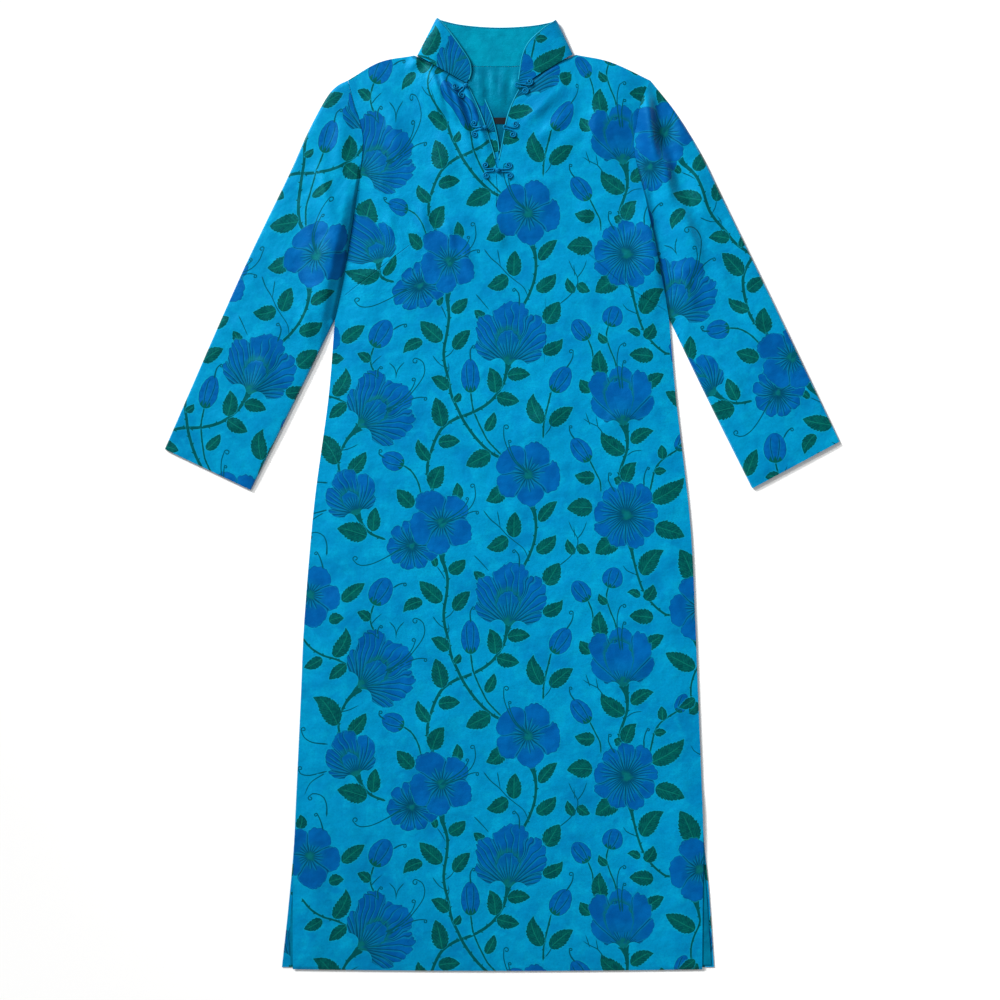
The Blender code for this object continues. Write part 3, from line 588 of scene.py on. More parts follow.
@dataclass(frozen=True)
class Leaf(Motif):
    """A leaf from its base to its tip, and its width."""

    base_x: float
    base_height: float
    tip_x: float
    tip_height: float
    width: float
    is_bud: bool = False

    OWN: ClassVar[Pair] = (0.37, 0.71)

    @property
    def length(self) -> float:
        """Distance from its base to its tip."""
        return math.hypot(self.tip_x - self.base_x, self.tip_height - self.base_height)

    @property
    def reach(self) -> float:
        """How far from its middle it can show."""
        return self.length * 0.56

    @property
    def middle(self) -> Pair:
        """Plan point halfway from its base to its tip."""
        return (self.base_x + self.tip_x) / 2, (self.base_height + self.tip_height) / 2

    def nearness(self, points: Points) -> Points:
        """Distance from its middle, as a share of its half length, and less across than along."""
        local = self.place(points)
        return np.hypot(local[..., 0] / self.length - 0.5, local[..., 1] / self.width * 0.5) * 2

    def margin(self, cell: float) -> float:
        """Greatest nearness, as such a share, at which a face of this size still takes part in it."""
        return 1.12 + 2.4 * cell / self.width

    def place(self, points: Points) -> Points:
        """Along and across in millimetres from its base, and a number of its own.

        Args:
            points: Print points.

        Returns:
            Three numbers for each point.
        """
        axis = np.array((self.tip_x - self.base_x, self.tip_height - self.base_height)) / self.length
        away = points - (self.base_x, self.base_height)
        along = away @ axis
        across = away[..., 1] * axis[0] - away[..., 0] * axis[1]
        own = (self.base_x * self.OWN[0] + self.base_height * self.OWN[1]) % 1.0
        return np.stack((along, across, np.full_like(along, own)), -1)

    def facts(self) -> Triple:
        """Its length, its width, and 1 where it is a bud."""
        return self.length, self.width, float(self.is_bud)


@dataclass(frozen=True)
class Bud(Leaf):
    """A bud, which is placed as a leaf is."""

    is_bud: bool = True


class Stroke(Motif):
    """A drawn line: a stem, a twig, a tendril, a seam or a band of painted shade along a seam."""

    TIP = 3.0
    FLARE_RUN = 9.0
    RUN = 5.0
    ROOM = 1.5

    def __init__(
        self, points: Sequence[Pair], half_width: float, flare: float = 0.0, taper: float = 0.0
    ) -> None:
        """Takes the line's points and its width.

        Args:
            points: Plan points in order.
            half_width: Half its width, in millimetres.
            flare: How much wider each side gets where it starts.
            taper: Share of its width that it loses by its end.
        """
        curve = Curve(points)
        self.line = curve.evenly(np.linspace(0.0, 1.0, max(4, int(curve.reach[-1] / self.RUN))))
        self.half_width = half_width
        self.flare = flare
        self.taper = taper
        self.length = float(np.linalg.norm(np.diff(self.line, axis=0), axis=1).sum())
        self.reach = half_width + flare + self.ROOM

    @property
    def middle(self) -> Pair:
        """Middle of its box."""
        return tuple((self.line.min(0) + self.line.max(0)) / 2)

    def measured(self, points: Points, extended: bool) -> tuple[Points, Points]:
        """Distance across the line, and length along it, of plan points.

        Args:
            points: Plan points, x and height last.
            extended: Whether the first and last runs go on beyond the line's ends.

        Returns:
            The signed distance across, and the length along from the start.
        """
        start, run = self.line[:-1], np.diff(self.line, axis=0)
        size = np.linalg.norm(run, axis=1)
        before = np.concatenate(([0.0], np.cumsum(size)[:-1]))
        away = points[..., None, :] - start
        share = (away * run).sum(-1) / size**2
        low, high = np.zeros(len(run)), np.ones(len(run))
        if extended:
            low[0], high[-1] = -np.inf, np.inf
        share = np.clip(share, low, high)
        off = away - share[..., None] * run
        distance = np.linalg.norm(off, axis=-1)
        nearest = distance.argmin(-1)[..., None]
        sign = np.sign(run[:, 0] * away[..., 1] - run[:, 1] * away[..., 0])
        signed = np.take_along_axis(distance * sign, nearest, -1)[..., 0]
        along = np.take_along_axis(before + share * size, nearest, -1)[..., 0]
        return signed, along

    def nearness(self, points: Points) -> Points:
        """Distance from the line."""
        return np.abs(self.measured(points, False)[0])

    def place(self, points: Points) -> Points:
        """Distance across, length along, and half the width there, which is below zero beyond the ends.

        Args:
            points: Print points.

        Returns:
            Three numbers for each point.
        """
        across, along = self.measured(points, True)
        share = np.clip(along / self.length, 0.0, 1.0)
        flare = self.flare * np.exp(-np.maximum(along, 0) / self.FLARE_RUN)
        width = self.half_width * (1 - self.taper * share) + flare
        beyond = np.maximum(np.maximum(-along, along - self.length), 0.0)
        return np.stack((across, along, width * (1 - beyond / self.TIP)), -1)


@dataclass(frozen=True)
class Curl(Motif):
    """The curl at the end of a tendril."""

    row: TendrilRow

    ROOM: ClassVar[float] = 1.2

    @property
    def axes(self) -> tuple[Points, Points, Points]:
        """Its place and how it is turned.

        Returns:
            Its middle, the way from there to the tendril's end, and the way in which the tendril goes on.
        """
        line = Curve(self.row.points).line
        onward = (line[-1] - line[-3]) / np.linalg.norm(line[-1] - line[-3])
        outward = np.array((onward[1], -onward[0])) * self.row.side
        return line[-1] - outward * self.row.curl, outward, onward

    @property
    def reach(self) -> float:
        """How far from its middle it can show."""
        return self.row.curl + self.ROOM

    @property
    def middle(self) -> Points:
        """Its middle."""
        return self.axes[0]

    def place(self, points: Points) -> Points:
        """Outward and onward in millimetres from its middle, and its radius.

        Args:
            points: Print points.

        Returns:
            Three numbers for each point.
        """
        middle, outward, onward = self.axes
        away = points - middle
        return np.stack((away @ outward, away @ onward, np.full(points.shape[:-1], self.row.curl)), -1)


# ---------------- one repeat of the print
PERIOD = 339.3
BLOOMS = rows_of(
    Bloom,
    (BloomKind.HIBISCUS, -250, 489, 24, 41, 0), (BloomKind.FAN, -186, 369, 52, 82, 0),
    (BloomKind.FAN, 8, 449, 4, 81, 0), (BloomKind.HIBISCUS, 33, 306, 24, 44, 0),
    (BloomKind.FAN, -189, 254, -18, 58, 0), (BloomKind.HIBISCUS, -79, 243, -30, 43, 0),
    (BloomKind.RADIAL, -118, 213, -11, 34, 1), (BloomKind.CUP, 157, 370, -3, 79, 0),
    (BloomKind.RADIAL, 161, 253, 0, 44, 0), (BloomKind.HIBISCUS, 256, 132, -21, 42, 0),
)
LEAVES = rows_of(
    Leaf,
    (-208, 481, -179, 504, 17), (-225, 455, -206, 460, 14), (-79, 480, -108, 506, 20),
    (-104, 481, -130, 469, 15), (-69, 518, -47, 533, 17), (-63, 469, -43, 494, 17), (-23, 507, -37, 519, 12),
    (-172, 456, -187, 468, 13), (-218, 408, -199, 444, 19), (-234, 406, -257, 393, 14),
    (-203, 398, -225, 379, 15), (-70, 417, -91, 434, 16), (-62, 400, -54, 412, 9), (-9, 412, -14, 445, 19),
    (7, 434, 36, 437, 17), (-7, 407, 22, 400, 18), (-78, 368, -86, 406, 21), (-21, 362, -9, 386, 13),
    (51, 372, 36, 409, 20), (-214, 320, -241, 359, 25), (-199, 307, -176, 334, 18), (-95, 324, -112, 350, 15),
    (-83, 347, -55, 350, 17), (-16, 333, -47, 317, 22), (-91, 288, -78, 318, 21), (-116, 264, -137, 286, 19),
    (-60, 271, -57, 295, 14), (2, 289, -19, 269, 20), (-168, 232, -165, 263, 17), (-176, 226, -214, 237, 24),
    (48, 245, 70, 272, 15), (15, 224, 16, 257, 19), (7, 223, -19, 208, 19), (45, 205, 71, 225, 18),
    (-263, 185, -260, 203, 14), (-86, 186, -92, 203, 9), (57, 502, 74, 530, 22), (53, 464, 80, 479, 17),
    (62, 370, 91, 394, 19), (181, 176, 206, 210, 23), (250, 166, 232, 209, 26), (179, 487, 163, 494, 10),
    (186, 482, 198, 501, 16), (196, 459, 165, 462, 19), (130, 432, 124, 467, 20), (115, 413, 100, 428, 15),
    (185, 420, 209, 437, 17), (250, 393, 212, 413, 21), (158, 333, 126, 358, 21), (167, 348, 195, 365, 17),
    (136, 477, 124, 489, 10), (208, 326, 207, 344, 12), (198, 309, 213, 311, 10), (159, 296, 171, 323, 18),
    (155, 294, 146, 302, 12), (194, 271, 238, 298, 23), (120, 302, 94, 303, 17), (117, 262, 84, 263, 23),
    (199, 238, 237, 226, 22), (150, 224, 121, 203, 24), (93, 202, 83, 221, 11), (98, 214, 113, 203, 13),
    (250, 354, 230, 341, 12), (242, 335, 254, 349, 16),
)
BUDS = rows_of(
    Bud,
    (-167, 476, -148, 510, 31), (-41, 412, -42, 456, 25), (-128, 318, -156, 329, 26), (66, 413, 86, 445, 28),
    (111, 481, 93, 506, 25), (139, 498, 148, 524, 28), (113, 323, 91, 352, 25), (228, 336, 238, 360, 18),
)
STEMS = rows_of(
    StemRow,
    (1.9, 2.5, 0, ((-78, 542), (-78, 534), (-73, 520), (-71, 505), (-73, 485), (-76, 467), (-75, 451),
     (-70, 429), (-66, 409), (-58, 391), (-50, 375), (-39, 359), (-28, 346), (-12, 332), (7, 324))),
    (2.0, 5, 1, ((9, 457), (5, 435), (-2, 418), (-16, 400), (-39, 386), (-61, 378), (-77, 367), (-86, 353),
     (-92, 337), (-97, 319), (-96, 299), (-90, 285))),
    (1.1, 0, 1, ((-41, 413), (-38, 391), (-30, 371), (-19, 350), (-7, 337), (4, 326))),
    (1.4, 0, 1, ((-259, 432), (-249, 420), (-233, 410), (-216, 405), (-200, 397), (-186, 388), (-182, 379),
     (-185, 369))),
    (1.6, 5, 0, ((-185, 368), (-200, 353), (-209, 337), (-213, 321), (-211, 308))),
    (1.6, 4, 1, ((-189, 257), (-182, 241), (-171, 229), (-154, 222))),
    (1.1, 0, 0, ((-129, 318), (-118, 310), (-110, 297), (-105, 279))),
    (1.1, 0, 0, ((-166, 478), (-171, 462), (-170, 449), (-164, 438), (-160, 430))),
    (1.8, 4, 0, ((37, 270), (43, 250), (43, 227), (37, 205), (27, 185))),
    (1.2, 0, 0, ((63, 411), (58, 391), (54, 373), (53, 355))),
    (1.8, 5.5, 0, ((158, 372), (162, 355), (162, 339), (158, 325), (153, 311), (151, 293))),
    (1.5, 4, 0, ((165, 220), (169, 202), (174, 181), (182, 157), (194, 139), (210, 125), (218, 123))),
    (1.2, 4, 0, ((251, 93), (256, 71), (256, 61), (248, 43), (245, 29), (245, 13))),
    (1.2, 0, 1, ((228, 338), (208, 325), (198, 311), (191, 280))),
    (1.0, 0, 0, ((111, 482), (117, 466), (118, 453))),
    (1.0, 0, 0, ((138, 499), (135, 486), (140, 468), (146, 454), (149, 438))),
    (1.0, 0, 1, ((113, 325), (122, 307), (127, 297), (128, 285))),
)
TWIGS = rows_of(
    TwigRow,
    (0, ((-23, 257), (-15, 247), (-4, 238), (6, 227), (17, 218), (28, 209), (34, 196))),
    (1, ((-6, 256), (-3, 239))), (0, ((-89, 459), (-83, 451), (-76, 446))),
    (0, ((-73, 435), (-69, 442), (-70, 449))), (1, ((-73, 459), (-67, 463), (-63, 469))),
    (0, ((-169, 452), (-164, 458), (-158, 463))), (0, ((-175, 439), (-169, 439), (-162, 433))),
    (0, ((-145, 452), (-139, 445), (-138, 435))), (1, ((-129, 452), (-136, 444), (-138, 435))),
    (0, ((-209, 337), (-199, 339), (-189, 344))), (0, ((-232, 256), (-249, 245), (-256, 231))),
    (0, ((-35, 199), (-28, 192), (-19, 182))), (1, ((-83, 523), (-78, 516), (-75, 510))),
    (0, ((131, 358), (124, 368), (115, 372), (107, 377))), (1, ((124, 368), (122, 379))),
    (1, ((113, 372), (109, 384))), (0, ((163, 331), (170, 336), (179, 337))),
    (0, ((171, 516), (162, 520), (158, 525))), (0, ((258, 281), (250, 285), (246, 291))),
    (0, ((76, 189), (88, 199), (97, 212), (98, 222), (91, 234), (87, 243))),
    (1, ((98, 223), (105, 232), (109, 243))), (1, ((94, 226), (93, 236))),
    (0, ((57, 359), (63, 367), (64, 375))),
)
TENDRILS = rows_of(
    TendrilRow,
    (3.4, -1, 0, ((32, 309), (17, 321), (7, 339), (2, 355), (2, 367))),
    (2.0, -1, 1, ((31, 310), (18, 323), (11, 337), (8, 348))),
    (3.8, 1, 0, ((-150, 391), (-128, 402), (-110, 422), (-101, 438), (-103, 453), (-111, 458))),
    (2.5, 1, 1, ((-148, 390), (-128, 406), (-117, 418), (-113, 429))),
    (2.2, -1, 0, ((-146, 388), (-124, 401), (-110, 406), (-100, 406))),
    (2.9, 1, 0, ((-78, 243), (-61, 250), (-43, 261), (-35, 276), (-36, 291))),
    (2.0, 1, 1, ((-77, 245), (-61, 254), (-50, 263), (-44, 273))),
    (2.2, -1, 0, ((-76, 242), (-52, 251), (-41, 257), (-33, 258))),
    (3.4, -1, 0, ((-133, 209), (-151, 198), (-171, 189), (-186, 188), (-193, 194))),
    (2.9, -1, 0, ((-229, 295), (-247, 297), (-258, 304), (-261, 313))),
    (2.7, -1, 0, ((-230, 259), (-251, 254), (-262, 256), (-265, 262))),
    (2.2, -1, 0, ((-140, 499), (-133, 503), (-127, 504))), (2.0, -1, 0, ((-41, 455), (-42, 466), (-39, 472))),
    (2.2, -1, 0, ((-154, 328), (-160, 332), (-160, 336))),
    (2.9, 1, 0, ((-228, 203), (-228, 216), (-233, 227), (-245, 231), (-251, 227))),
    (2.2, 1, 1, ((-233, 185), (-236, 196), (-240, 204))), (2.2, 1, 0, ((22, 187), (22, 200), (17, 207))),
    (2.0, -1, 0, ((-161, 433), (-162, 443), (-159, 448))),
    (2.4, -1, 0, ((153, 419), (150, 438), (149, 456), (152, 472), (157, 476))),
    (2.0, -1, 1, ((156, 419), (155, 438), (157, 452))), (2.0, -1, 0, ((145, 285), (138, 297), (138, 306))),
    (2.8, 1, 0, ((84, 445), (91, 456), (92, 465))), (2.0, -1, 1, ((93, 353), (88, 360), (87, 367))),
    (1.8, -1, 0, ((184, 292), (184, 303), (188, 314))),
)


@dataclass
class Layer:
    """Motifs of one sort that never lie over each other, and the attributes that tell a face about them."""

    name: str
    motifs: list
    away: Triple
    has_facts: bool = False
    repeats: bool = True

    def write(self, sheet: "Sheet", corners: Points) -> None:
        """Gives each face the motif nearest to it.

        Args:
            sheet: The sheet that gets the attributes.
            corners: Four print points for each face.
        """
        cell = float(np.median(np.linalg.norm(corners[:, 2] - corners[:, 0], axis=1))) / 2
        if self.repeats:
            turn = np.floor(corners.mean(1)[:, 1] / PERIOD) * PERIOD
            corners = corners - np.stack((np.zeros_like(turn), turn), -1)[:, None]
        centres = corners.mean(1)
        best = np.full(len(centres), np.inf)
        place = np.tile(np.array(self.away, float), (len(centres), 4, 1))
        facts = np.zeros((len(centres), 4, 3))
        for motif in self.motifs:
            for shift in (-PERIOD, 0.0, PERIOD) if self.repeats else (0.0,):
                moved = centres - (0.0, shift)
                near = np.nonzero(self.box(motif, moved, cell))[0]
                if not len(near):
                    continue
                score = motif.nearness(moved[near])
                taken = (score < best[near]) & (score < motif.margin(cell * 1.5))
                chosen = near[taken]
                best[chosen] = score[taken]
                place[chosen] = motif.place(corners[chosen] - (0.0, shift))
                if self.has_facts:
                    facts[chosen] = motif.facts()
        sheet.corner_values[f"{self.name}_place"] = place
        if self.has_facts:
            sheet.corner_values[f"{self.name}_facts"] = facts

    def box(self, motif: Motif, points: Points, cell: float) -> Points:
        """Finds the points in a motif's box, with room for a few faces.

        Args:
            motif: The motif.
            points: Print points.
            cell: Half the size of a face.

        Returns:
            Whether each point lies in it.
        """
        if isinstance(motif, Stroke):
            low, high = motif.line.min(0), motif.line.max(0)
        else:
            low = high = np.array(motif.middle)
        room = motif.reach + 3 * cell
        return ((points > low - room) & (points < high + room)).all(-1)


class Print:
    """The repeat: blooms, leaves, stems and tendrils, sorted into layers that don't lie over each other."""

    FAR = 1000.0
    TWIG_WIDTH = 0.78
    TENDRIL_WIDTH = 0.72

    def __init__(self) -> None:
        """Sorts every row of the tables into its layer."""
        far = self.FAR
        blooms = [[bloom for bloom in BLOOMS if bloom.layer == k] for k in (0, 1)]
        leaves = self.apart([*LEAVES, *BUDS])
        stems = [
            [Stroke(row.points, row.half_width, row.flare) for row in STEMS if row.layer == k] for k in (0, 1)
        ]
        thin = [
            [Stroke(row.points, self.TWIG_WIDTH, taper=0.3) for row in TWIGS if row.layer == k]
            + [Stroke(row.points, self.TENDRIL_WIDTH, flare=0.5) for row in TENDRILS if row.layer == k]
            for k in (0, 1)
        ]
        self.layers = [Layer("curl", [Curl(row) for row in TENDRILS], (far, far, 1.0))]
        for k, letter in enumerate("ab"):
            self.layers += [
                Layer(f"bloom_{letter}", blooms[k], (far, far, 1.0), has_facts=True),
                Layer(f"leaf_{letter}", leaves[k], (-far, far, 0.0), has_facts=True),
                Layer(f"stem_{letter}", stems[k], (far, 0.0, -1.0)),
                Layer(f"thin_{letter}", thin[k], (far, 0.0, -1.0)),
            ]

    def apart(self, leaves: list[Leaf]) -> tuple[list[Leaf], list[Leaf]]:
        """Shares leaves out over two layers, each into the one where it has more room.

        Args:
            leaves: The leaves and buds.

        Returns:
            The leaves of each layer.
        """
        layers: tuple[list[Leaf], list[Leaf]] = ([], [])
        for leaf in leaves:
            room = [min((self.gap(leaf, other) for other in layer), default=self.FAR) for layer in layers]
            layers[0 if room[0] >= room[1] else 1].append(leaf)
        return layers

    def gap(self, one: Leaf, other: Leaf) -> float:
        """Room between two leaves, over the edge of the repeat too.

        Args:
            one: A leaf.
            other: Another.

        Returns:
            The room, below zero where they may touch.
        """
        height = one.middle[1] - other.middle[1]
        height -= PERIOD * round(height / PERIOD)
        return math.hypot(one.middle[0] - other.middle[0], height) - one.reach - other.reach

    def write(self, sheet: "Sheet", place: Points) -> None:
        """Writes the whole print onto a sheet.

        Args:
            sheet: The sheet that gets the attributes.
            place: Four print points for each of its faces.
        """
        for layer in self.layers:
            layer.write(sheet, place)
        sheet.corner_values["print_place"] = np.concatenate((place, np.zeros_like(place[..., :1])), -1)


# ---------------- node maths
class Signal:
    """A number that varies over a surface; Python's operators on it add Math nodes."""

    def __init__(self, graph: "Graph", socket: Socket) -> None:
        """Wraps an output socket of a graph."""
        self.graph = graph
        self.socket = socket

    def math(self, operation: str, *others: Term) -> "Signal":
        """A Math node on this signal and up to two others."""
        return self.graph.math(operation, self, *others)

    def __add__(self, other: Term) -> "Signal":
        """The sum."""
        return self.math("ADD", other)

    def __sub__(self, other: Term) -> "Signal":
        """The difference."""
        return self.math("SUBTRACT", other)

    def __rsub__(self, other: float) -> "Signal":
        """A number less this."""
        return self.graph.math("SUBTRACT", other, self)

    def __mul__(self, other: Term) -> "Signal":
        """The product."""
        return self.math("MULTIPLY", other)

    __radd__ = __add__
    __rmul__ = __mul__

    def __truediv__(self, other: Term) -> "Signal":
        """The quotient, which is 0 where the divisor is."""
        return self.math("DIVIDE", other)

    def __rtruediv__(self, other: float) -> "Signal":
        """A number over this."""
        return self.graph.math("DIVIDE", other, self)

    def __pow__(self, other: float) -> "Signal":
        """The power."""
        return self.math("POWER", other)

    def __abs__(self) -> "Signal":
        """The size without its sign."""
        return self.math("ABSOLUTE")

    def __mod__(self, other: Term) -> "Signal":
        """The rest that is never below zero."""
        return self.math("FLOORED_MODULO", other)

    def least(self, other: Term) -> "Signal":
        """The smaller of the two."""
        return self.math("MINIMUM", other)

    def most(self, other: Term) -> "Signal":
        """The larger of the two."""
        return self.math("MAXIMUM", other)

    def rise(self, low: Term, high: Term) -> "Signal":
        """0 below low and 1 above high, softly between."""
        return self.graph.step(self, low, high, 0.0, 1.0)

    def fall(self, low: Term, high: Term) -> "Signal":
        """1 below low and 0 above high, softly between."""
        return self.graph.step(self, low, high, 1.0, 0.0)

    def strip(self) -> "Signal":
        """Distance from the nearest whole number."""
        return abs(self - (self + 0.5).math("FLOOR"))


@dataclass
class Paint:
    """A colour, given or linked, and where it shows."""

    colour: "Socket | Colour"
    mask: Signal


class Graph:
    """The nodes of one material."""

    def __init__(self, name: str) -> None:
        """Starts a material without any nodes.

        Args:
            name: Its name.
        """
        self.material = bpy.data.materials.new(name)
        self.material.use_nodes = True
        self.tree = self.material.node_tree
        self.tree.nodes.clear()

    def node(self, kind: str, settings: dict | None = None, values: dict | None = None) -> bpy.types.Node:
        """Adds a node.

        Args:
            kind: The node's type.
            settings: Its own settings, which are made first.
            values: Numbers, colours, sockets or signals for its inputs, by name or place.

        Returns:
            The node.
        """
        made = self.tree.nodes.new(kind)
        for name, setting in (settings or {}).items():
            setattr(made, name, setting)
        for key, value in (values or {}).items():
            target = made.inputs[key]
            source = value.socket if isinstance(value, Signal) else value
            if isinstance(source, Socket):
                self.tree.links.new(source, target)
            elif isinstance(source, tuple) and len(source) == 3 and target.type == "RGBA":
                target.default_value = (*source, 1.0)
            else:
                target.default_value = source
        return made

    def math(self, operation: str, *terms: Term) -> Signal:
        """A Math node on these terms."""
        made = self.node("ShaderNodeMath", {"operation": operation}, dict(enumerate(terms)))
        return Signal(self, made.outputs[0])

    def step(self, value: Signal, low: Term, high: Term, start: float, end: float) -> Signal:
        """Steps smoothly between two numbers.

        Args:
            value: What the step follows.
            low: Where the step starts.
            high: Where it ends.
            start: The result below low.
            end: The result above high.

        Returns:
            The result.
        """
        values = {"Value": value, "From Min": low, "From Max": high, "To Min": start, "To Max": end}
        made = self.node("ShaderNodeMapRange", {"interpolation_type": "SMOOTHSTEP"}, values)
        return Signal(self, made.outputs["Result"])

    def attribute(self, name: str) -> tuple[Signal, Signal, Signal]:
        """The three numbers of an attribute."""
        return self.parts(self.node("ShaderNodeAttribute", {"attribute_name": name}).outputs["Vector"])

    def parts(self, socket: Socket) -> tuple[Signal, Signal, Signal]:
        """The three numbers of a vector."""
        made = self.node("ShaderNodeSeparateXYZ", values={0: socket})
        return tuple(Signal(self, output) for output in made.outputs)

    def vector(self, *numbers: Term) -> Socket:
        """A vector of three numbers."""
        return self.node("ShaderNodeCombineXYZ", values=dict(enumerate(numbers))).outputs[0]

    def noise(self, place: Socket, scale: float, detail: float = 2.0, rough: float = 0.5) -> Signal:
        """Soft noise from 0 to 1, which repeats its bumps scale times in each unit of place."""
        values = {"Vector": place, "Scale": scale, "Detail": detail, "Roughness": rough}
        return Signal(self, self.node("ShaderNodeTexNoise", {"noise_dimensions": "3D"}, values).outputs[0])

    def chance(self, seed: Signal) -> Signal:
        """One number from 0 to 1 for each value of a seed."""
        made = self.node("ShaderNodeTexWhiteNoise", {"noise_dimensions": "1D"}, {"W": seed})
        return Signal(self, made.outputs["Value"])

    def blend(self, mask: Term, under: object, over: object) -> Socket:
        """One colour over another where a mask says."""
        values = {0: mask, 6: under, 7: over}
        return self.node("ShaderNodeMix", {"data_type": "RGBA"}, values).outputs[2]

    def shade(self, colour: Socket, amount: Signal) -> Socket:
        """A colour made darker or lighter by a factor."""
        values = {0: colour, 1: self.vector(amount, amount, amount)}
        return self.node("ShaderNodeVectorMath", {"operation": "MULTIPLY"}, values).outputs[0]

    def layered(self, under: object, paints: Sequence[Paint]) -> Socket:
        """Paints laid over a colour, one after another.

        Args:
            under: The colour.
            paints: The paints, from the lowest up.

        Returns:
            The colour that shows.
        """
        for paint in paints:
            under = self.blend(paint.mask, under, paint.colour)
        return under

    def bump(self, height: Signal, depth: float, under: Socket | None = None) -> Socket:
        """Raises the surface in the light alone.

        Args:
            height: A height of 0 to 1.
            depth: How many metres the height stands for.
            under: A normal that it lies on, if any.

        Returns:
            The normal.
        """
        values = {"Height": height, "Distance": depth, "Strength": 1.0}
        if under is not None:
            values["Normal"] = under
        return self.node("ShaderNodeBump", values=values).outputs[0]

    def object_place(self) -> Socket:
        """The place on the piece, in metres."""
        return self.node("ShaderNodeTexCoord").outputs["Object"]

    def finish(
        self, colour: Socket, roughness: Term, normal: Socket | None = None, **constants: object
    ) -> Material:
        """Adds the shader.

        Args:
            colour: Its base colour.
            roughness: Its roughness.
            normal: Its normal, if it isn't the surface's own.
            constants: Values that are the same all over, by the name of their input, with _ for each space.

        Returns:
            The material.
        """
        values = {name.replace("_", " "): value for name, value in constants.items()}
        values |= {"Base Color": colour, "Roughness": roughness}
        if normal is not None:
            values["Normal"] = normal
        shader = self.node("ShaderNodeBsdfPrincipled", values=values)
        self.node("ShaderNodeOutputMaterial", values={"Surface": shader.outputs[0]})
        return self.material


def srgb(*display: int) -> Colour:
    """A linear colour from its display values of 0 to 255."""
    parts = (value / 255 for value in display)
    return tuple(part / 12.92 if part <= 0.04045 else ((part + 0.055) / 1.055) ** 2.4 for part in parts)


# ---------------- finishes
GLOSS_TINT: Colour = (0.03, 0.55, 0.9)
SATIN = {"Sheen_Weight": 0.08, "Sheen_Tint": GLOSS_TINT, "Specular_Tint": GLOSS_TINT}


@dataclass(frozen=True)
class Weave:
    """The fine weave that every cloth here has: threads a third of a millimetre apart, with slubs."""

    pitch: float = 0.34
    relief: float = 0.00006
    slub: float = 0.00012

    def normal(self, graph: Graph, place: Socket, under: Socket | None) -> object:
        """The weave's normal.

        Args:
            graph: The material's nodes.
            place: Where on the cloth, in millimetres.
            under: A normal that the weave lies on, if any.

        Returns:
            The normal's socket.
        """
        x, y, _ = graph.parts(place)
        warp = (x * (TAU / self.pitch)).math("SINE")
        weft = (y * (TAU / self.pitch)).math("SINE")
        threads = warp * weft * 0.25 + 0.5
        long_slub = graph.noise(graph.vector(x * 0.06, y * 1.6, 0.0), 1.0, 2.0)
        normal = graph.bump(long_slub, self.slub, under)
        return graph.bump(threads, self.relief, normal)


